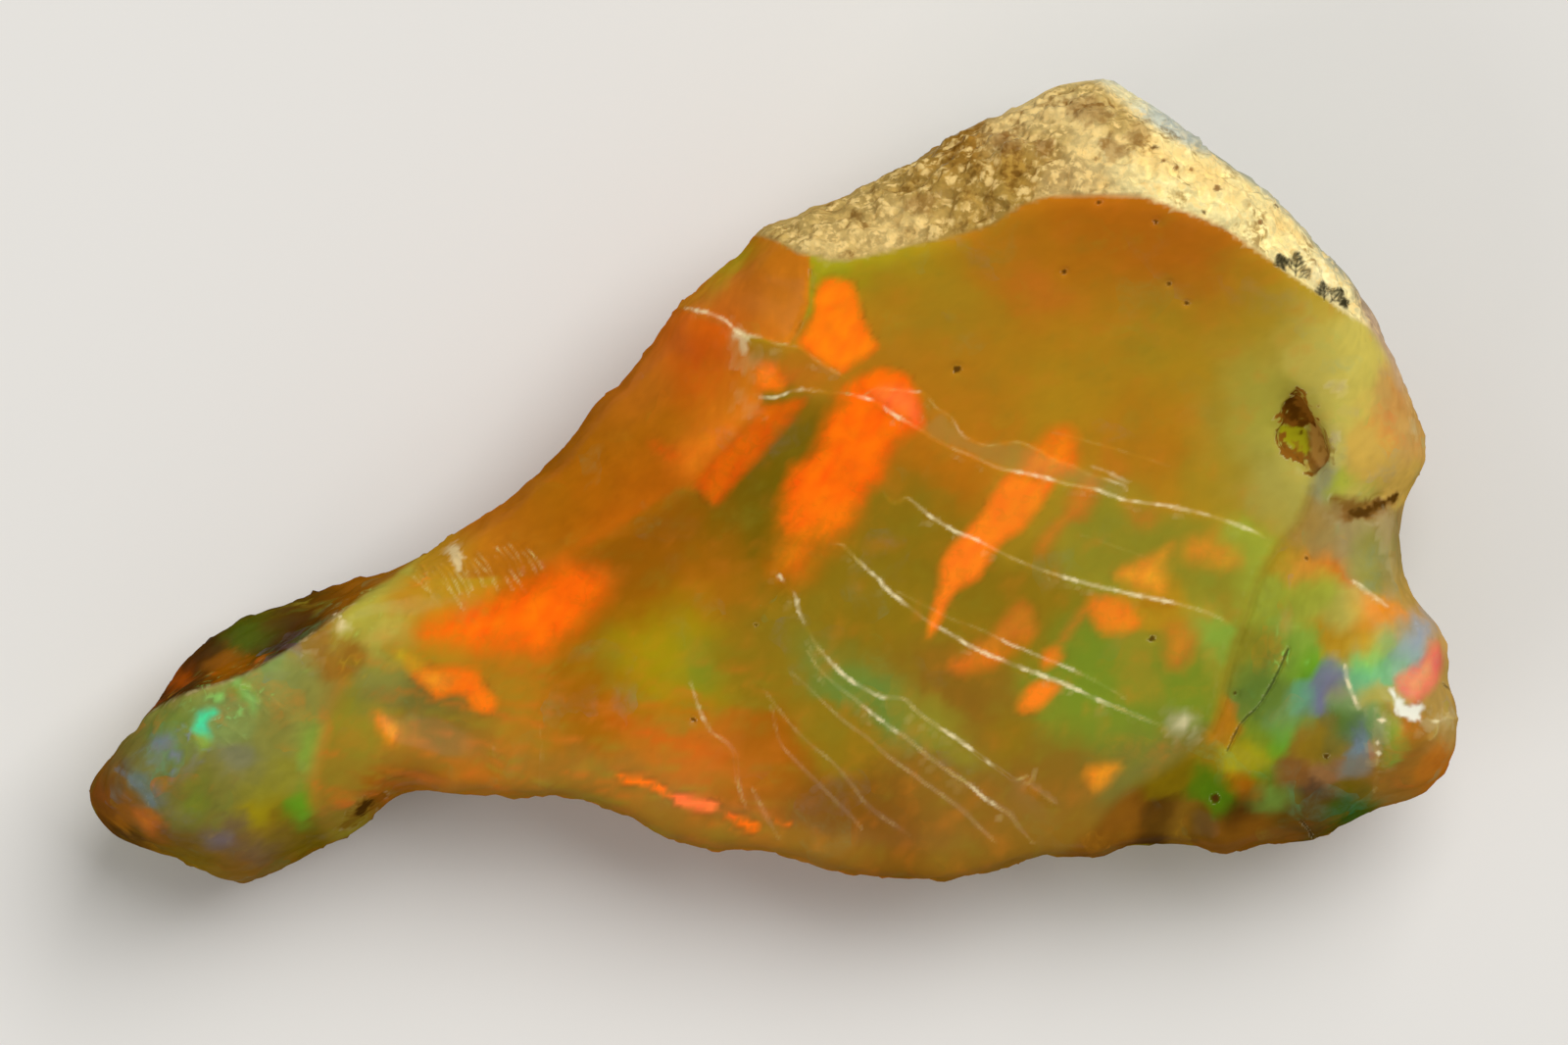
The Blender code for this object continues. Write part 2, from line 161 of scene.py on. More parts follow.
# The inside of the scar, where the surface is smoothest.
SCAR_BORDER = (
    (-9.0, -4.0), (-6.5, -3.2), (-5.0, -2.6), (-3.0, -1.4), (-1.2, 0.0), (0.3, 1.6), (1.2, 3.0),
    (1.9, 4.6), (3.2, 4.9), (5.6, 5.6), (8.0, 6.4), (10.0, 6.1), (12.2, 4.6), (13.0, 2.8),
    (12.4, 0.0), (11.6, -1.8), (11.2, -3.6), (10.6, -5.6), (8.6, -7.0), (6.6, -8.6),
    (3.8, -9.2), (0.4, -8.7), (-3.6, -7.6), (-8.6, -7.1),
)  # fmt: skip

SCAR_PATCHES = (
    Patch("citron", (2.3, 5.45), 0.5, 3.0, 8),
    Patch("ochre", (3.6, 5.0), 1.0),
    Patch("khaki_gold", (4.4, 4.3), 0.9),
    Patch("honey", (6.0, 5.9), 1.1),
    Patch("amber", (8.4, 6.4), 1.2, 1.5),
    Patch("russet", (10.2, 5.6), 1.0, 1.6, -35),
    Patch("honey", (8.0, 4.4), 1.3),
    Patch("khaki_gold", (9.7, 3.7), 1.1),
    Patch("rust_glow", (6.8, 4.8), 0.4, 2.0, -25),
    Patch("honey", (3.6, 3.4), 1.2),
    Patch("honey", (5.0, 2.0), 1.3),
    Patch("ochre", (7.5, 2.5), 1.3),
    Patch("honey", (9.4, 1.2), 1.2),
    Patch("ochre", (10.8, 2.6), 1.0),
    Patch("lime_haze", (12.1, 1.9), 0.9, 1.5, 90),
    Patch("khaki_gold", (12.4, 4.2), 0.8, 1.4, -40),
    Patch("primrose", (13.6, 3.2), 0.6, 1.4, -60),
    Patch("straw", (12.7, 0.3), 0.6),
    Patch("khaki_gold", (11.5, 0.2), 0.8),
    Patch("amber", (2.9, 1.9), 0.5),
    Patch("amber", (4.3, 0.6), 0.9, 1.6, -30),
    Patch("olive", (3.2, -1.6), 1.3, 1.5, -45),
    Patch("khaki_gold", (6.5, -0.6), 0.8),
    Patch("moss", (8.6, -1.2), 0.9),
    Patch("olive", (5.9, -3.4), 1.1),
    Patch("olive", (3.4, -0.6), 0.9),
    Patch("leaf", (7.9, -4.4), 0.5, 1.5, -30),
    Patch("leaf", (8.0, -6.0), 0.8, 1.6, -30),
    Patch("moss", (11.5, -2.6), 0.5, 1.4, 80),
    Patch("lime", (12.1, -2.2), 0.4, 2.2, -75),
    Patch("moss", (9.9, -1.4), 0.35, 2.0, 15),
    Patch("meadow", (11.2, -4.0), 0.35, 1.6, -65),
    Patch("leaf", (10.6, -5.0), 0.45, 1.8, -60),
    Patch("moss", (11.4, -5.0), 0.35, 1.6, -65),
    Patch("moss", (9.4, -4.8), 0.5),
    Patch("leaf", (9.0, -6.2), 0.5, 1.5),
    Patch("ochre", (10.1, -3.3), 0.4, 1.5, -20),
    Patch("slate_green", (9.6, -7.1), 0.8, 1.5),
    Patch("cocoa_gold", (5.0, -5.6), 0.8, 1.7, -35),
    Patch("moss", (4.1, -6.1), 0.4, 2.0, -38),
    Patch("olive", (6.0, -6.5), 0.5),
    Patch("cocoa_gold", (7.4, -7.4), 0.8),
    Patch("forest", (2.6, -5.5), 0.45, 3.6, -38),
    Patch("olive", (1.8, -6.8), 0.7),
    Patch("olive", (2.2, -3.4), 1.0),
    Patch("olive", (-0.5, -3.9), 1.1),
    Patch("bark", (1.3, -0.4), 0.7, 2.2, 60),
    Patch("bark", (-0.3, -1.2), 1.0, 1.6, 40),
    Patch("chestnut", (-3.0, -1.9), 1.1, 1.7, 30),
    Patch("amber", (-1.5, -2.6), 0.8),
    Patch("moss_gold", (-3.0, -4.8), 1.1),
    Patch("moss_gold", (-2.0, -3.6), 0.6),
    Patch("leaf", (-1.9, -4.7), 0.45),
    Patch("chestnut", (-4.6, -5.6), 0.9, 1.4),
    Patch("sienna", (-3.4, -5.8), 0.5, 2.0, -15),
    Patch("copper", (-2.0, -6.7), 0.6, 2.4, -18),
    Patch("sienna_gold", (-0.3, -7.2), 0.7, 1.5, -25),
    Patch("cocoa", (2.2, -8.6), 0.8, 2.0, -15),
    Patch("cocoa_gold", (4.2, -7.9), 0.7, 1.6, -35),
    Patch("bark_gold", (-4.9, -7.6), 0.5, 2.6, -8),
    Patch("bark_gold", (1.0, -9.3), 0.4, 3.0, -8),
    Patch("cocoa_gold", (5.3, -9.2), 0.7, 1.5, 10),
    Patch("cocoa_gold", (6.9, -9.0), 0.6, 1.5),
    Patch("honey", (-6.4, -5.6), 0.9),
    Patch("bark_gold", (-7.6, -6.9), 0.8, 1.6),
    Patch("bark_gold", (-9.0, -6.9), 0.7),
    Patch("bark", (-8.5, -6.35), 0.35, 2.4, -5),
    Patch("ochre", (-8.6, -3.2), 0.7),
    Patch("lime_haze", (-10.0, -3.4), 0.6),
    Patch("slate_green", (-8.9, -5.75), 0.35, 3.6, -8),
    Patch("tarnish", (-9.9, -5.2), 0.45),
    Patch("moss", (-10.8, -6.4), 0.5, 1.8, 85),
    Patch("orange_tan", (-11.3, -6.2), 0.25, 3.0, 80),
    Patch("primrose", (-9.85, -3.85), 0.2, 1.6, 30),
    Patch("bark_gold", (-10.65, -4.4), 0.22, 1.5, 60),
    Patch("honey", (-9.3, -3.0), 0.3, 1.6, 30),
    Patch("bark_gold", (-10.7, -7.3), 0.4, 1.5, 60),
    Patch("rust_glow", (-11.0, -7.95), 0.15),
    Patch("sienna_gold", (-9.4, -7.6), 0.35, 2.2, 0),
    Patch("amber", (-7.6, -7.45), 0.3, 2.4, 0),
)

REGIONS = (
    Region(
        BEVEL_RIDGE + ((-0.45, 2.8), (-0.8, 3.75), (-2.4, 4.5), (-6.0, 4.5), (-12.0, -1.0)),
        0.07, 0.12,
        (
            Patch("sienna_gold", (-2.2, 2.6), 1.5, 1.6, 50),
            Patch("flame_red", (-1.7, 3.9), 0.5, 1.6, 30),
            Patch("tangerine_gold", (-1.2, 2.3), 0.7, 1.8, 50),
            Patch("rust_glow", (-2.9, 2.9), 0.5, 3.0, 52),
            Patch("chestnut", (-4.2, 0.6), 1.0, 2.0, 45),
            Patch("sienna", (-3.6, -0.2), 0.8, 2.0, 35),
            Patch("chestnut", (-5.6, -0.6), 0.8, 2.0, 40),
            Patch("russet", (-7.0, -1.4), 0.7, 1.6, 30),
            Patch("ochre", (-8.2, -1.9), 0.5, 1.6, 30),
            Patch("lime_haze", (-9.6, -2.2), 0.5),
        ),
    ),
    Region(
        CORNER_FOOT + ((0.3, 6.0), (-0.5, 6.8), (-3.5, 6.0), (-2.4, 4.5)),
        0.07, 0.12,
        (
            Patch("tangerine_gold", (0.3, 4.3), 0.7, 1.5, 70),
            Patch("copper", (-0.7, 4.3), 0.7, 1.6, -20),
            Patch("rust_glow", (-1.4, 4.75), 0.4, 1.5, 40),
            Patch("citron", (-1.1, 5.35), 0.25, 3.5, 40),
            Patch("russet", (0.2, 5.4), 0.6),
            Patch("amber", (-0.2, 6.1), 0.5),
        ),
    ),
    Region(
        (
            (14.6, 4.2), (14.3, 3.2), (14.2, 1.6), (13.7, -0.2), (13.4, -1.0), (12.9, -1.6),
            (12.4, -2.5), (12.1, -3.4), (11.8, -4.2), (11.6, -4.9), (11.5, -5.5), (11.2, -6.3),
            (10.2, -7.2), (9.2, -7.8), (8.4, -8.6), (7.8, -10.5), (19.0, -11.0), (19.0, 3.6),
        ),
        0.22, 0.25,
        (
            Patch("primrose", (14.6, 2.6), 0.6, 1.4, 90),
            Patch("primrose", (14.35, 1.3), 0.25, 2.6, 90),
            Patch("peach", (15.8, 2.0), 0.4, 1.6, 80),
            Patch("buff", (15.2, 1.1), 0.45, 1.6, 90),
            Patch("copper", (16.1, 2.1), 0.15, 2.0, 70),
            Patch("peach", (16.1, 1.0), 0.3, 1.6, 80),
            Patch("buff", (15.8, 0.1), 0.4),
            Patch("pewter_gold", (13.95, -0.1), 0.2, 1.6, 80),
            Patch("lime", (14.5, 0.0), 0.22, 1.4, 60),
            Patch("buff", (14.95, 0.2), 0.22, 1.4),
            Patch("primrose", (14.9, -0.25), 0.2, 1.4),
            Patch("tan", (13.6, -1.0), 0.4),
            Patch("driftwood", (14.5, -1.4), 0.5),
            Patch("tarnish", (15.2, -2.0), 0.5, 1.4, -60),
            Patch("driftwood", (15.7, -1.6), 0.3, 2.4, -80),
            Patch("tan", (16.0, -2.6), 0.3, 1.6, -70),
            Patch("khaki_gold", (12.8, -1.9), 0.4),
            Patch("apricot", (13.5, -2.2), 0.3, 1.4, -20),
            Patch("copper", (14.3, -2.35), 0.3, 1.5, -20),
            Patch("lime", (12.7, -2.8), 0.35, 1.5, 70),
            Patch("lime", (13.6, -3.0), 0.4, 1.3),
            Patch("straw", (14.5, -3.2), 0.35, 1.4),
            Patch("tangerine_gold", (15.4, -3.4), 0.4, 1.3, -20),
            Patch("ochre", (14.2, -3.9), 0.35),
            Patch("marigold", (15.1, -3.85), 0.26, 1.4, 10),
            Patch("lime", (15.65, -4.1), 0.18, 1.6, 40),
            Patch("jade", (15.4, -4.45), 0.42, 1.4, 20),
            Patch("teal", (15.6, -4.7), 0.22, 1.7, 75),
            Patch("teal", (14.95, -5.0), 0.3, 1.5, 75),
            Patch("mist", (16.15, -4.1), 0.35, 1.4, 60),
            Patch("pewter_gold", (16.0, -3.65), 0.16, 1.6, 20),
            Patch("mist", (16.5, -3.8), 0.25, 1.4, 50),
            Patch("peach", (17.1, -3.8), 0.3, 1.6, -50),
            Patch("tan", (17.1, -5.4), 0.3, 1.6, 80),
            Patch("straw", (13.0, -3.45), 0.22, 1.6, 45),
            Patch("meadow", (12.7, -3.7), 0.25, 1.5, 60),
            Patch("moss", (12.2, -4.3), 0.3, 1.5, 60),
            Patch("meadow", (13.3, -4.3), 0.3, 1.5, 70),
            Patch("grass", (13.5, -4.7), 0.2, 1.6, -50),
            Patch("forest", (12.5, -5.0), 0.4, 1.5, 70),
            Patch("forest", (12.8, -5.4), 0.25),
            Patch("teal", (13.5, -5.4), 0.15, 2.0, 80),
            Patch("steel", (13.75, -5.35), 0.2, 1.7, 65),
            Patch("violet", (14.1, -5.25), 0.24, 1.5, 60),
            Patch("pewter_gold", (14.5, -5.4), 0.25, 1.4, -40),
            Patch("straw", (15.4, -5.5), 0.25, 1.5, 20),
            Patch("sage", (13.2, -6.0), 0.3, 1.4, 60),
            Patch("grass", (12.95, -6.5), 0.28, 1.6, 50),
            Patch("leaf", (12.3, -6.4), 0.3),
            Patch("honey", (11.5, -6.2), 0.25, 1.6, 70),
            Patch("mustard", (12.1, -7.0), 0.35, 1.4, -20),
            Patch("bottle_green", (12.6, -7.5), 0.3),
            Patch("olive", (11.1, -6.9), 0.35),
            Patch("bark", (10.2, -7.4), 0.4),
            Patch("bottle_green", (10.9, -7.6), 0.3),
            Patch("bottle_green", (11.3, -8.05), 0.35),
            Patch("sienna_gold", (11.9, -7.8), 0.2, 1.5, -30),
            Patch("rust", (13.2, -7.1), 0.3, 1.5, 50),
            Patch("rust", (13.1, -7.5), 0.18, 1.6, 30),
            Patch("shadow", (13.5, -7.9), 0.3, 1.3),
            Patch("olive", (13.7, -6.7), 0.3, 1.3, 20),
            Patch("umber", (14.0, -7.3), 0.3),
            Patch("slate_green", (14.2, -6.4), 0.25),
            Patch("bottle_green", (14.6, -6.2), 0.2, 1.6, -60),
            Patch("sage", (14.6, -5.85), 0.2, 1.4, -60),
            Patch("steel", (14.85, -6.6), 0.17, 1.7, -60),
            Patch("sage", (15.35, -6.4), 0.2, 1.6, 80),
            Patch("pewter", (14.9, -7.3), 0.2, 1.3),
            Patch("meadow", (15.75, -6.7), 0.17, 2.2, 80),
            Patch("bark_gold", (16.3, -6.7), 0.45),
            Patch("amber", (16.8, -7.2), 0.35, 1.4, 50),
            Patch("tan", (17.0, -6.2), 0.3, 1.4, 80),
            Patch("bark_gold", (15.8, -7.6), 0.4, 1.5),
            Patch("bark", (15.1, -7.8), 0.25),
            Patch("pine", (14.6, -8.3), 0.24, 1.9, 15),
            Patch("deep_olive", (13.6, -8.4), 0.35, 1.5),
            Patch("forest", (12.6, -8.1), 0.2, 1.6, 20),
            Patch("dark_brown", (12.0, -8.5), 0.3),
            Patch("cocoa", (12.4, -8.9), 0.3, 1.6),
            Patch("deep_olive", (10.9, -8.8), 0.25, 1.6, -20),
            Patch("cocoa_gold", (10.3, -8.7), 0.3, 1.4),
            Patch("dark_brown", (9.9, -8.8), 0.34, 1.6, 80),
            Patch("cocoa", (11.5, -9.3), 0.4, 1.8),
            Patch("cocoa", (9.0, -8.6), 0.4),
            Patch("cocoa", (8.3, -9.3), 0.35),
        ),
        0.3,
    ),
    Region(
        (
            (-9.9, -2.3), (-10.9, -3.3), (-11.1, -4.2), (-10.9, -5.0), (-11.3, -5.9),
            (-11.6, -7.0), (-11.8, -8.0), (-11.4, -9.0), (-11.2, -11.0), (-19.0, -11.0),
            (-19.0, -6.0), (-14.0, -2.5),
        ),
        0.25, 0.3,
        (
            Patch("tarnish", (-13.2, -6.3), 1.0, 1.4, 20),
            Patch("slate_green", (-15.0, -7.7), 0.9, 1.4, 20),
            Patch("slate_green", (-12.4, -6.0), 0.25),
            Patch("grass", (-13.35, -5.3), 0.2),
            Patch("tarnish", (-12.4, -5.3), 0.7),
            Patch("sage", (-12.6, -4.9), 0.5, 1.3, 20),
            Patch("sage", (-13.9, -6.2), 0.5, 1.5, 30),
            Patch("forest", (-15.0, -6.4), 0.4, 1.5, 35),
            Patch("pewter", (-13.6, -7.0), 0.4),
            Patch("moss", (-13.2, -7.6), 0.4, 1.5),
            Patch("moss", (-12.4, -7.1), 0.4),
            Patch("meadow", (-11.6, -6.6), 0.25, 2.0, 80),
            Patch("grass", (-11.95, -8.35), 0.24, 1.5, 60),
            Patch("moss_gold", (-13.2, -8.3), 0.25, 1.8, 15),
            Patch("leaf", (-14.6, -8.0), 0.25, 1.6, 70),
            Patch("pewter", (-15.4, -6.7), 0.2, 1.5, 35),
            Patch("pewter", (-14.8, -7.2), 0.2, 1.8, 60),
            Patch("slate_blue", (-16.1, -7.7), 0.18, 2.8, -42),
            Patch("slate_green", (-16.3, -7.0), 0.3, 1.6, 40),
            Patch("flame_brown", (-15.9, -8.5), 0.26, 1.5, -45),
            Patch("sienna_gold", (-16.5, -8.4), 0.25, 1.4, 60),
            Patch("pit_brown", (-17.1, -8.1), 0.5, 1.5, 70),
            Patch("cocoa", (-15.6, -9.3), 0.3, 2.0, -20),
            Patch("mauve_brown", (-13.1, -9.5), 0.3, 1.6, 20),
            Patch("mauve_brown", (-14.1, -9.1), 0.25, 1.6, 20),
            Patch("olive", (-12.6, -8.9), 0.35),
            Patch("cocoa_gold", (-13.8, -9.9), 0.5, 2.2),
            Patch("dark_brown", (-16.5, -9.2), 0.3, 1.8, -30),
            Patch("bark", (-14.8, -9.7), 0.3, 2.2, -25),
            Patch("bark", (-12.0, -9.2), 0.5),
            Patch("bark_gold", (-11.4, -4.6), 0.5),
            Patch("cocoa", (-16.9, -7.4), 0.3),
        ),
        0.4,
    ),
    # The lobe behind the tail's ridge: its dark browns and olives are partly its own colour and
    # partly painted shade, darkest just behind the ridge.
    Region(
        TAIL_RIDGE + ((-9.2, -1.0), (-19.0, 0.0)),
        0.08, 0.35,
        (
            Patch("dark_brown", (-12.0, -3.5), 0.8, 2.0, 25),
            Patch("deep_olive", (-12.4, -3.2), 0.4, 2.5, 20),
            Patch("dark_brown", (-15.2, -5.3), 0.6, 1.6, 35),
            Patch("bottle_green", (-13.2, -3.8), 0.35, 1.5, 20),
            Patch("chestnut", (-13.8, -4.6), 0.25, 2.0, 25),
            Patch("flame_brown", (-15.1, -5.0), 0.18, 1.8, 45),
            Patch("chestnut", (-10.6, -2.8), 0.6, 1.5, 25),
        ),
        0.3,
    ),
    Region(
        RIND_EDGE + ((17.0, 12.0), (-2.0, 12.0)),
        0.06, 0.0,
        (
            Patch("oat", (0.6, 6.5), 0.5, 1.6),
            Patch("oat", (2.0, 6.6), 0.7, 1.8, 20),
            Patch("cream", (1.4, 6.1), 0.25, 2.4, 10),
            Patch("tan", (4.0, 7.4), 0.7, 1.6, 30),
            Patch("cream", (3.2, 6.5), 0.35, 2.2, 20),
            Patch("bark_gold", (4.9, 8.4), 0.45, 1.8, 35),
            Patch("tan", (5.0, 7.3), 0.5, 1.5, 20),
            Patch("sand_gold", (6.3, 8.1), 0.5, 1.6, 10),
            Patch("cream", (6.3, 9.0), 0.4, 1.8, 25),
            Patch("oat", (6.9, 8.6), 0.3, 1.6, 10),
            Patch("sand", (8.0, 7.7), 0.4, 2.2, -5),
            Patch("cream", (7.9, 9.0), 0.5, 1.4, -20),
            Patch("oat", (8.2, 9.5), 0.25, 1.8, -30),
            Patch("tan", (8.8, 8.9), 0.35, 1.4, -40),
            Patch("ivory", (10.0, 7.6), 0.7, 2.0, -30),
            Patch("peach_cream", (9.7, 8.2), 0.3, 1.8, -35),
            Patch("peach_cream", (11.2, 7.6), 0.25, 2.4, -38),
            Patch("peach_cream", (13.0, 6.3), 0.2, 2.0, -45),
            Patch("ivory", (12.0, 6.5), 0.6, 2.2, -42),
            Patch("ivory", (11.2, 6.9), 0.3, 2.0, -35),
            Patch("ivory", (13.4, 5.6), 0.5, 1.8, -45),
            # A pale streak on the rind's crest, painted as a highlight.
            Patch("frost_glint", (14.0, 5.1), 0.3, 2.0, -50),
            Patch("ivory", (14.6, 4.5), 0.4, 1.8, -50),
            Patch("tan", (15.6, 3.5), 0.4),
        ),
    ),
    Region(
        SKIN_EDGE + ((20.0, 4.0), (16.0, 12.0)),
        0.18, 0.0,
        (
            Patch("skin_white", (9.9, 9.3), 0.6, 2.0, -40),
            Patch("ivory", (9.1, 9.8), 0.3, 1.6, -30),
            Patch("skin_grey", (12.0, 8.2), 0.8, 2.0, -42),
            Patch("skin_white", (13.4, 7.4), 0.5, 2.5, -45),
            Patch("skin_grey", (14.4, 5.9), 0.6, 2.0, -50),
            Patch("rose_grey", (15.8, 3.6), 0.6, 1.8, -60),
            Patch("peach", (16.6, 1.8), 0.6),
        ),
    ),
)

BACK_PATCHES = (
    Patch("skin_grey", (4.5, -1.0), 3.0, 1.6, 10),
    Patch("skin_white", (9.5, 1.5), 2.0, 1.5, 20),
    Patch("skin_white", (10.5, 5.0), 2.2, 1.6, -40),
    Patch("sand", (3.5, 3.5), 1.6, 1.5, 30),
    Patch("skin_grey", (13.5, 5.5), 1.8, 1.6, -50),
    Patch("nut_brown", (7.5, -2.5), 0.7, 2.0, 40),
    Patch("sand", (1.0, -3.0), 1.3, 1.5),
    Patch("nut_brown", (1.5, 1.0), 0.8, 1.8, -20),
    Patch("honey", (-4.0, -3.5), 1.6, 1.8, 30),
    Patch("amber", (-3.5, 1.5), 1.8, 1.8, 45),
    Patch("amber", (1.0, -8.0), 1.4, 3.0, -5),
    Patch("olive", (5.5, -8.5), 1.0, 1.8),
    Patch("moss_gold", (10.5, -8.0), 1.2, 1.6),
    Patch("cinnamon", (14.5, -7.0), 1.4, 1.5, 40),
    Patch("moss", (14.8, -3.0), 1.4, 1.5, 80),
    Patch("honey", (15.0, 0.8), 1.2, 1.5, 80),
    Patch("cocoa", (-9.0, -5.0), 1.6, 1.6, 15),
    Patch("sand", (-13.0, -6.6), 1.5, 1.6, 20),
    Patch("dark_brown", (-12.5, -4.0), 1.0, 2.0, 25),
    Patch("moss", (-15.5, -8.0), 1.0, 1.5, 30),
    Patch("cocoa", (-13.0, -9.3), 0.9, 2.0, 10),
)

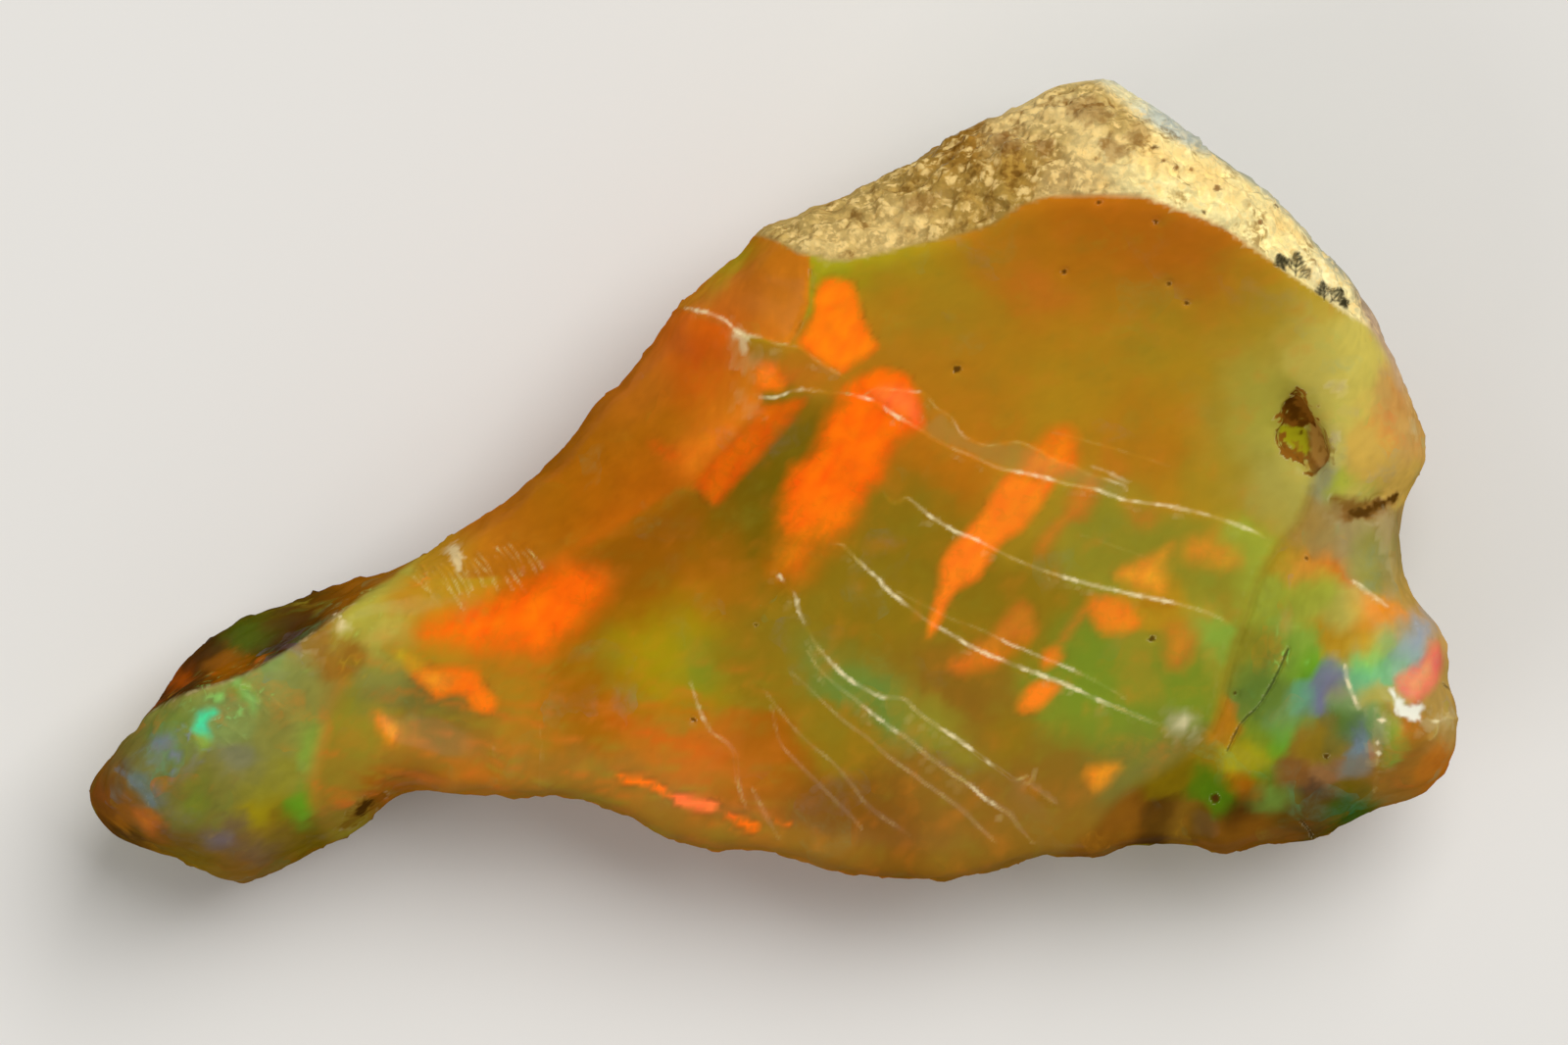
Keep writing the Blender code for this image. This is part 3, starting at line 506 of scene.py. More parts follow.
FLASHES = (
    Flash("flame", 1.0, 0.09, (
        (1.34, 5.1), (2.0, 5.05), (2.15, 4.72), (2.32, 4.17), (2.59, 3.63), (2.67, 3.36),
        (2.04, 2.92), (1.83, 2.76), (1.45, 2.92), (1.0, 3.2), (0.68, 3.52), (0.82, 3.79),
        (1.04, 4.23), (1.12, 4.77),
    )),
    Flash("flame_red", 1.0, 0.12, (
        (1.96, 2.27), (2.04, 2.54), (2.59, 2.81), (2.97, 2.87), (3.35, 2.76), (3.57, 2.43),
        (3.73, 2.16), (3.84, 1.78), (3.73, 1.4), (3.0, 1.75), (2.6, 2.0),
    )),
    Flash("flame_pink", 0.85, 0.12, (
        (2.5, 2.2), (2.9, 2.4), (3.4, 2.35), (3.7, 2.0), (3.8, 1.6), (3.65, 1.4), (3.1, 1.75),
    )),
    Flash("flame_red", 1.0, 0.2, (
        (3.73, 1.45), (3.46, 1.18), (3.08, 0.9), (2.92, 0.47), (2.8, 0.09), (2.53, -0.19),
        (2.26, -0.57), (1.99, -0.89), (1.77, -1.22), (1.3, -1.3), (0.8, -1.3), (0.35, -1.28),
        (0.3, -0.8), (0.32, -0.2), (0.52, 0.31), (0.9, 0.63), (1.12, 1.01),
        (1.28, 1.4), (1.5, 1.78), (1.66, 2.05), (1.96, 2.4), (2.6, 2.15), (3.0, 1.85),
    )),
    Flash("flame", 0.8, 0.5, (
        (2.0, -0.6), (1.77, -1.22), (1.44, -1.55), (1.0, -2.0), (0.7, -2.4), (0.1, -2.3),
        (0.15, -1.9), (0.35, -1.28), (0.57, -0.6),
    )),
    Flash("blaze", 0.95, 0.12, (
        (-0.46, 2.87), (-0.25, 3.08), (0.03, 3.06), (0.3, 2.81), (0.44, 2.54), (0.3, 2.32),
        (-0.14, 2.27), (-0.41, 2.4),
    )),
    Flash("copper", 0.6, 0.3, ((0.3, 3.1), (1.1, 3.0), (1.5, 2.7), (1.2, 2.4), (0.4, 2.4))),
    Flash("tangerine", 0.5, 0.3, (
        (-2.05, 0.0), (-1.5, 0.55), (-0.9, 1.25), (-0.3, 1.95), (-0.55, 2.2), (-1.3, 1.6),
        (-2.1, 1.15), (-2.6, 0.6),
    )),
    Flash("ember", 0.75, 0.12, ((-3.1, 0.95), (-2.9, 1.0), (-2.3, 0.65), (-2.45, 0.5))),
    Flash("ember", 0.5, 0.5, ((-2.6, 3.1), (-1.2, 4.2), (-0.7, 3.5), (-1.0, 2.3), (-2.0, 1.7))),
    Flash("deep_flame", 0.95, 0.1, (
        (-2.0, 0.0), (-1.0, 1.08), (-0.35, 1.85), (0.2, 2.05), (0.85, 2.1), (0.8, 1.9),
        (0.5, 1.5), (0.1, 1.1), (-0.3, 0.6), (-0.75, 0.1), (-1.1, -0.3), (-1.45, -0.6),
        (-1.9, -0.15),
    )),
    Flash("tangerine", 0.95, 0.1, (
        (6.04, 0.2), (6.85, 0.06), (7.18, 0.0), (6.98, -0.41), (6.78, -0.75), (6.44, -1.22),
        (6.04, -1.42), (5.7, -1.76), (5.5, -2.16), (5.17, -2.56), (4.76, -2.76),
        (4.49, -3.1), (4.36, -3.5), (4.09, -3.9), (3.92, -3.98), (4.02, -3.5), (4.16, -2.9),
        (4.26, -2.43), (4.36, -1.89), (4.63, -1.55), (5.03, -1.15), (5.43, -0.61),
        (5.7, -0.21),
    )),
    Flash("blaze", 0.85, 0.18, (
        (6.98, 1.27), (7.52, 1.4), (7.82, 1.0), (7.72, 0.26), (6.9, 0.0), (6.3, 0.2),
        (6.5, 0.73),
    )),
    Flash("rust_glow", 0.75, 0.16, (
        (8.2, 0.2), (8.35, -0.3), (8.0, -0.9), (7.6, -1.0), (7.2, -1.5), (6.9, -1.9),
        (6.7, -1.8), (6.9, -1.3), (7.4, -0.8), (7.6, -0.2),
    )),
    Flash("rust_glow", 0.5, 0.2, ((8.6, 0.6), (9.0, 0.6), (9.0, 0.2), (8.7, 0.2))),
    Flash("rust_glow", 0.55, 0.25, ((9.1, -0.7), (9.7, -0.7), (9.7, -1.1), (9.2, -1.1))),
    Flash("tangerine", 0.7, 0.12, (
        (8.2, -2.9), (9.0, -2.97), (9.27, -3.3), (9.43, -3.64), (9.07, -3.84), (8.4, -3.9),
        (8.2, -3.57), (8.02, -3.17),
    )),
    Flash("apricot_fire", 0.85, 0.15, (
        (8.73, -2.43), (9.27, -2.03), (9.94, -1.76), (10.2, -1.55), (10.05, -2.0),
        (10.0, -2.83), (9.47, -2.76),
    )),
    Flash("apricot_fire", 0.7, 0.25, (
        (10.4, -1.7), (11.0, -1.4), (11.7, -1.7), (11.9, -2.1), (11.3, -2.2), (10.6, -2.0),
    )),
    Flash("rust_glow", 0.7, 0.2, (
        (10.1, -3.6), (10.7, -3.7), (10.8, -4.2), (10.4, -4.8), (10.0, -4.5),
    )),
    Flash("chestnut", 0.7, 0.12, ((9.45, -2.98), (10.2, -3.05), (10.25, -3.2), (9.5, -3.25))),
    Flash("rust_glow", 0.7, 0.14, (
        (4.49, -4.65), (4.83, -4.38), (5.17, -4.1), (5.64, -3.77), (6.04, -3.24),
        (6.44, -3.0), (6.78, -3.5), (6.71, -3.98), (6.04, -4.18), (5.84, -4.5), (5.37, -4.78),
        (4.7, -4.95),
    )),
    Flash("blaze", 0.45, 0.2, ((4.7, -4.7), (5.6, -4.3), (6.5, -4.0), (5.8, -4.6), (5.0, -4.85))),
    Flash("tangerine", 0.85, 0.1, (
        (6.24, -5.73), (6.44, -5.32), (6.85, -5.05), (7.38, -5.19), (7.12, -5.52),
        (6.85, -5.8), (6.38, -5.9),
    )),
    Flash("tangerine", 0.75, 0.12, ((6.95, -4.3), (7.38, -4.24), (7.38, -4.58), (6.9, -4.78))),
    Flash("rust_glow", 0.6, 0.12, ((8.1, -3.2), (7.8, -3.3), (7.3, -4.05), (7.5, -4.1))),
    Flash("flame_red", 1.0, 0.35, (
        (-9.1, -3.85), (-8.2, -3.35), (-7.2, -2.95), (-6.2, -2.5), (-5.2, -2.1), (-4.6, -2.15),
        (-4.1, -2.5), (-4.4, -3.1), (-5.0, -3.8), (-5.8, -4.4), (-7.0, -4.3), (-8.0, -4.2),
    )),
    Flash("blaze", 1.0, 0.1, (
        (-9.25, -4.45), (-8.9, -4.6), (-8.5, -4.7), (-8.0, -4.7), (-7.55, -4.8), (-7.3, -5.15),
        (-7.0, -5.6), (-7.15, -5.9), (-7.55, -5.75), (-7.9, -5.45), (-8.5, -5.5),
        (-8.8, -5.25), (-9.15, -4.9),
    )),
    Flash("apricot_fire", 0.8, 0.12, (
        (-9.0, -4.85), (-8.5, -4.8), (-8.1, -5.0), (-8.25, -5.3), (-8.8, -5.2),
    )),
    Flash("marigold", 0.9, 0.12, (
        (-9.85, -4.15), (-9.4, -4.2), (-9.0, -4.4), (-8.7, -4.65), (-9.1, -4.85), (-9.45, -4.6),
    )),
    Flash("marigold", 0.3, 0.3, ((-10.2, -5.8), (-9.6, -5.9), (-9.0, -6.4), (-9.7, -6.8))),
    Flash("rust_glow", 0.5, 0.2, (
        (-9.1, -7.5), (-8.3, -7.45), (-7.4, -7.2), (-7.5, -7.55), (-8.4, -7.75),
    )),
    Flash("tangerine_gold", 0.95, 0.12, (
        (-10.15, -5.85), (-9.85, -5.9), (-9.55, -6.15), (-9.45, -6.5), (-9.65, -6.7),
        (-9.9, -6.5), (-10.05, -6.15),
    )),
    Flash("flame_red", 0.9, 0.05, (
        (-4.0, -7.42), (-3.7, -7.47), (-3.2, -7.55), (-2.65, -7.78), (-2.7, -7.92),
        (-3.2, -7.78), (-3.8, -7.68),
    )),
    Flash("flame_red", 0.7, 0.05, ((-2.9, -7.85), (-2.4, -7.95), (-2.4, -8.1), (-2.9, -7.97))),
    Flash("flame_pink", 1.0, 0.05, (
        (-2.6, -8.05), (-2.2, -7.98), (-1.35, -8.2), (-1.5, -8.4), (-2.3, -8.3),
    )),
    Flash("flame_red", 0.9, 0.06, (
        (-1.25, -8.45), (-0.8, -8.5), (-0.3, -8.75), (-0.45, -8.95), (-0.9, -8.75),
    )),
    Flash("flame_red", 0.6, 0.06, ((0.1, -8.6), (0.55, -8.7), (0.5, -8.8), (0.1, -8.7))),
    Flash("ember", 0.55, 0.2, ((-4.2, -6.0), (-2.6, -6.4), (-1.2, -7.0), (-2.4, -6.9))),
    Flash("tangerine_gold", 0.9, 0.14, ((8.0, -7.35), (8.9, -7.2), (8.5, -7.75), (8.2, -7.9))),
    Flash("rose", 0.9, 0.09, (
        (15.85, -4.95), (16.2, -4.75), (16.55, -4.5), (16.8, -4.05), (17.05, -4.2),
        (17.1, -4.6), (16.95, -5.1), (16.65, -5.45), (16.35, -5.65), (16.05, -5.5),
        (15.85, -5.25),
    )),
    Flash("salmon", 0.8, 0.1, (
        (16.1, -5.0), (16.5, -4.7), (16.75, -4.5), (16.8, -4.75), (16.5, -5.2), (16.2, -5.3),
    )),
    Flash("aqua", 0.9, 0.09, (
        (-14.65, -6.1), (-14.5, -5.8), (-14.1, -5.75), (-14.0, -5.9), (-14.3, -6.1),
        (-14.2, -6.5), (-14.4, -6.5), (-14.7, -6.3),
    )),
    Flash("jade", 0.85, 0.07, ((-14.1, -5.4), (-13.9, -5.35), (-13.85, -5.55), (-14.1, -5.6))),
    Flash("jade", 0.7, 0.12, (
        (-13.6, -5.05), (-13.35, -5.15), (-13.0, -5.55), (-13.1, -5.85), (-13.35, -5.5),
    )),
    Flash("meadow", 0.6, 0.1, ((-14.6, -6.5), (-14.3, -6.4), (-14.2, -6.7), (-14.5, -6.8))),
    Flash("rust_glow", 0.6, 0.15, (
        (-16.2, -8.3), (-15.9, -8.35), (-15.6, -8.8), (-15.75, -9.0), (-16.0, -8.8),
    )),
    Flash("violet", 0.55, 0.12, ((-15.7, -6.5), (-15.3, -6.4), (-15.2, -6.7), (-15.6, -6.8))),
    Flash("violet", 0.3, 0.15, ((-14.4, -9.0), (-13.8, -8.9), (-13.7, -9.3), (-14.3, -9.3))),
)  # fmt: skip

# Where thin curls of fire gather.
CURLS = (
    Patch("jade", (-13.7, -5.5), 0.7, 1.5, 25),
    Patch("violet", (-14.9, -6.8), 0.6, 1.7, 35),
    Patch("jade", (-12.4, -5.0), 0.4, 1.5, 60),
    Patch("jade", (13.1, -4.5), 0.5, 1.5, -60),
    Patch("violet", (14.9, -6.4), 0.4, 1.8, -60),
    Patch("marigold", (-10.0, -4.2), 0.5, 2.0, 30),
    Patch("jade", (-10.2, -3.3), 0.5, 1.6, 40),
    Patch("copper", (-9.0, -2.7), 0.5, 1.6, 30),
)

TRACES = (
    ledge(0.55, 0.09, 0.10, (
        (1.9, 2.25), (2.2, 2.15), (2.6, 2.05), (2.9, 1.85), (3.2, 1.65), (3.65, 1.4),
        (3.9, 1.25), (4.2, 1.05), (4.6, 0.85), (5.0, 0.7), (5.6, 0.42), (6.0, 0.3),
        (6.9, 0.12), (7.5, -0.05), (8.3, -0.2), (8.95, -0.45), (10.0, -0.6), (11.0, -0.82),
        (12.0, -1.15), (12.7, -1.48),
    ), ((2.2, 3.3), (6.2, 7.1), (8.3, 8.95), (9.2, 11.2), (11.6, 12.4))),
    ledge(0.45, 0.07, 0.05, (
        (2.3, 2.15), (2.6, 2.35), (2.9, 2.35), (3.6, 2.28), (3.85, 2.25), (4.0, 2.1),
        (4.2, 1.85), (4.5, 1.68), (4.7, 1.4), (4.8, 1.22), (5.1, 1.05), (5.5, 0.92),
        (5.9, 0.98), (6.3, 1.0), (6.9, 0.75), (7.2, 0.55), (7.7, 0.4), (8.0, 0.2),
        (8.4, 0.1), (9.0, -0.1), (9.03, -0.22),
    ), ((3.5, 3.8), (4.7, 4.9), (8.0, 9.03))),
    ledge(0.5, 0.1, 0.04, ((8.0, 0.42), (8.5, 0.25), (9.1, -0.02)), ((8.2, 9.0),)),
    ledge(0.4, 0.06, 0.0, ((3.75, 1.75), (3.86, 1.62), (3.8, 1.5))),
    ledge(0.22, 0.06, 0.02, ((7.2, 1.25), (8.5, 0.9), (9.5, 0.6), (10.1, 0.4))),
    ledge(0.2, 0.06, 0.02, ((7.9, -1.35), (8.9, -1.7), (9.5, -1.9))),
    ledge(0.5, 0.09, 0.08, (
        (-2.2, 4.4), (-1.7, 4.3), (-1.2, 4.1), (-0.8, 3.75), (-0.3, 3.65), (0.1, 3.5),
        (0.7, 3.4), (1.1, 3.1), (1.5, 2.85), (1.9, 2.6), (2.0, 2.5),
    ), ((-2.2, -0.2),)),
    ledge(0.5, 0.08, 0.07, (
        (-0.3, 2.15), (0.0, 2.12), (0.3, 2.2), (0.6, 2.32), (1.2, 2.3), (1.5, 2.25),
        (1.9, 2.25),
    ), ((-0.3, 0.8),)),
    ledge(0.55, 0.08, 0.08, (
        (2.75, -0.1), (2.9, -0.35), (3.15, -0.55), (3.4, -0.4), (3.7, -0.6), (4.0, -0.85),
        (4.4, -1.1), (4.75, -1.3), (5.2, -1.47), (6.0, -1.88), (6.5, -2.1), (7.0, -2.28),
        (8.0, -2.58), (9.0, -2.82), (10.0, -3.03), (11.0, -3.3), (11.8, -3.65),
    ), ((3.6, 5.4), (7.4, 10.4))),
    ledge(0.55, 0.09, 0.09, (
        (1.5, -1.6), (1.8, -1.6), (2.1, -1.9), (2.5, -2.3), (2.75, -2.5), (2.95, -2.75),
        (3.3, -3.03), (3.9, -3.5), (4.3, -3.75), (4.7, -3.97), (5.2, -4.25), (6.0, -4.6),
        (7.0, -4.97), (7.6, -5.2), (8.2, -5.5), (8.8, -5.75), (9.4, -6.0), (9.9, -6.2),
    ), ((2.4, 3.4), (4.2, 8.6))),
    ledge(0.4, 0.06, 0.04, (
        (3.2, -2.8), (3.9, -3.15), (4.6, -3.5), (5.3, -3.75), (6.0, -4.1), (6.6, -4.35),
        (7.2, -4.6), (7.7, -4.8), (8.3, -5.1), (9.0, -5.5),
    ), ((5.8, 7.8),)),
    ledge(0.55, 0.09, 0.08, (
        (0.2, -2.4), (0.6, -2.9), (0.7, -3.3), (1.05, -4.0), (1.25, -4.3), (1.6, -4.7),
        (2.0, -5.05), (2.7, -5.45), (3.1, -5.5), (3.4, -5.55), (3.7, -5.85), (4.1, -6.15),
        (4.8, -6.6), (5.3, -7.0), (5.9, -7.4), (6.2, -7.6), (6.5, -7.5),
    ), ((0.1, 0.3), (0.6, 0.8), (1.4, 2.9), (4.4, 5.6))),
    ledge(0.35, 0.07, 0.03, ((6.6, -7.8), (6.9, -8.0), (7.2, -8.2))),
    ledge(0.5, 0.07, 0.06, (
        (0.9, -4.3), (1.2, -4.75), (1.6, -5.15), (2.0, -5.45), (2.5, -5.85), (3.0, -6.25),
        (3.4, -6.5), (3.9, -6.92), (4.4, -7.3), (5.0, -7.7), (5.4, -8.05), (5.8, -8.3),
        (6.1, -8.5), (6.3, -8.8), (6.65, -9.2),
    ), ((2.4, 3.2), (5.1, 5.7))),
    ledge(0.4, 0.06, 0.04, (
        (0.3, -4.7), (0.9, -5.2), (1.4, -5.7), (1.9, -6.15), (2.4, -6.5), (2.9, -6.95),
        (3.5, -7.38), (4.0, -7.75), (4.7, -8.25), (5.3, -8.8), (5.7, -9.2),
    )),
    ledge(0.3, 0.06, 0.03, (
        (0.0, -5.7), (0.2, -6.6), (0.6, -7.1), (1.1, -7.6), (1.5, -8.0), (2.0, -8.5),
        (2.3, -8.85),
    )),
    ledge(0.3, 0.06, 0.03, (
        (-0.2, -5.3), (0.5, -6.2), (1.0, -6.7), (1.6, -7.2), (2.1, -7.8), (2.5, -8.3),
        (3.5, -9.0),
    )),
    ledge(0.45, 0.07, 0.04, (
        (-2.1, -5.0), (-1.95, -5.5), (-1.82, -5.85), (-1.7, -6.1), (-1.5, -6.4),
        (-1.2, -6.6), (-0.95, -6.9), (-0.9, -7.4), (-0.8, -7.9), (-0.65, -8.3),
    ), ((-1.9, -1.75),)),
    ledge(0.35, 0.06, 0.03, (
        (-0.5, -7.8), (-0.2, -8.4), (0.0, -8.8), (0.2, -9.1),
    )),
    ledge(0.25, 0.06, 0.02, ((-5.9, -6.2), (-5.85, -7.0), (-5.9, -7.8))),
    ledge(0.2, 0.06, 0.02, ((-7.1, -6.8), (-7.05, -7.6))),
    Trace("chestnut", 0.6, 0.1, -0.04, (
        (0.97, 5.3), (0.95, 4.5), (0.75, 4.0), (0.45, 3.5),
    )),
    # Painted highlights along the tail's ridge.
    Trace("bone", 0.45, 0.14, 0.04, (
        (-16.9, -6.7), (-16.1, -6.05), (-14.9, -5.4), (-13.5, -4.95), (-12.3, -4.3),
        (-11.3, -3.6), (-10.2, -2.75),
    )),
    Trace("soot", 0.85, 0.08, -0.05, (
        (13.15, -4.25), (12.9, -4.8), (12.65, -5.3), (12.3, -5.8), (11.95, -6.15),
        (11.6, -6.85),
    )),
    Trace("soot", 0.8, 0.08, -0.04, ((13.5, -8.65), (13.7, -8.9), (13.9, -9.2))),
    Trace("soot", 0.8, 0.07, -0.03, ((17.1, -5.15), (17.3, -5.3))),
    # Bright lines on the knob, painted as highlights where its edges catch the light.
    Trace("frost_glint", 0.6, 0.1, 0.04, (
        (14.8, -2.55), (15.1, -2.75), (15.35, -2.95), (15.65, -3.15),
    ), ((14.6, 15.7),)),
    Trace("frost_glint", 0.6, 0.1, 0.04, (
        (14.58, -4.7), (14.62, -5.0), (14.73, -5.35), (14.9, -5.75),
    ), ((14.5, 15.0),)),
    ledge(0.5, 0.08, 0.03, (
        (16.55, -6.0), (16.9, -6.1), (17.2, -6.0), (17.45, -6.05),
    ), ((16.8, 17.1),)),
    ledge(0.5, 0.1, 0.03, ((16.95, -6.1), (16.9, -6.4), (16.75, -6.55))),
    ledge(0.4, 0.08, 0.03, ((15.3, -6.55), (15.4, -7.2), (15.35, -7.9))),
    Trace("steel", 0.35, 0.25, -0.04, ((-16.6, -7.3), (-15.9, -7.8), (-15.6, -8.4))),
    Trace("meadow", 0.6, 0.12, 0.03, ((-13.4, -5.2), (-13.15, -5.3), (-13.0, -5.6))),
    # A dark olive line along the crease at the foot of the knob, over a shallow groove: painted
    # shade in the crease.
    Trace("olive", 0.5, 0.2, -0.03, (
        (13.7, -0.2), (13.4, -1.0), (12.9, -1.6), (12.4, -2.5), (12.1, -3.4), (11.8, -4.2),
        (11.6, -4.9), (11.5, -5.5), (11.2, -6.3),
    ), (), 0.22),
)  # fmt: skip

DARK_MARKS = ("soot", "speck", "rust", "olive")
FIRE_HEADING = 62  # the way that the sheets of fire run, in degrees from X
COMB_HEADING = -14  # the way that the colours of the lower left run
HIGH_LEDGE = 0.045
STRIA_WIDTH = 0.055
FERN_WIDTH = 0.1
SPECK_DEPTH = 0.03
KNOB_LUMPS = 0.12  # height of the soft lumps on the knob

# Dark specks in the opal and stains on the rind: centre and width.
SPECKS = (
    ((4.7, 2.85), 0.2), ((11.8, -5.4), 0.14), ((14.1, -7.0), 0.16), ((9.7, -4.0), 0.14),
    ((8.25, 7.05), 0.12), ((9.7, 6.55), 0.14), ((10.05, 5.0), 0.12), ((7.4, 5.3), 0.14),
    ((10.5, 4.52), 0.1), ((13.6, -1.95), 0.12), ((-0.4, -3.65), 0.16), ((-2.0, -6.05), 0.12),
    ((11.3, -8.05), 0.24), ((12.8, 7.0), 0.14), ((10.9, 6.8), 0.13), ((9.7, 8.45), 0.14),
)  # fmt: skip
RUST_SPECKS = (
    ((12.35, 6.55), 0.16), ((11.25, 7.4), 0.2), ((10.2, 7.9), 0.18), ((9.9, 8.1), 0.12),
    ((10.6, 7.9), 0.1),
)  # fmt: skip


class Fern(NamedTuple):
    """A small mineral fern grown on the rind: its stem, and how far its twigs reach."""

    foot: tuple
    heading: float
    length: float
    twig: float


FERNS = (
    Fern((12.95, 5.35), 110, 0.4, 0.24),
    Fern((13.25, 5.2), 85, 0.6, 0.32),
    Fern((13.35, 5.15), 35, 0.35, 0.22),
    Fern((14.0, 4.6), 95, 0.45, 0.26),
    Fern((14.15, 4.55), 45, 0.45, 0.28),
    Fern((14.4, 4.5), 15, 0.25, 0.16),
)


class Striae(NamedTuple):
    """A row of short parallel steps, from the first place to the last."""

    first: tuple
    last: tuple
    count: int
    heading: float
    length: float
    cover: float
    step: float


STRIAE = (
    Striae((-9.2, -2.3), (-6.3, -1.6), 19, -56, 1.25, 0.8, 0.024),
    Striae((-14.9, -6.3), (-13.0, -5.3), 7, -40, 0.9, 0.12, 0.015),
)


class Pit(NamedTuple):
    """A ragged hole in the front: its rim and depth."""

    rim: tuple
    depth: float


PITS = (
    Pit(
        (
            (13.3, 2.4), (13.6, 2.0), (13.8, 1.6), (14.05, 1.1), (14.15, 0.6), (13.9, 0.3),
            (13.7, 0.2), (13.45, 0.5), (13.0, 0.7), (12.85, 1.05), (12.95, 1.5), (12.95, 1.95),
        ),
        0.2,
    ),
    Pit(
        (
            (14.5, -0.75), (15.0, -0.5), (15.6, -0.3), (15.9, -0.35), (15.3, -0.7),
            (14.8, -0.9),
        ),
        0.1,
    ),
)

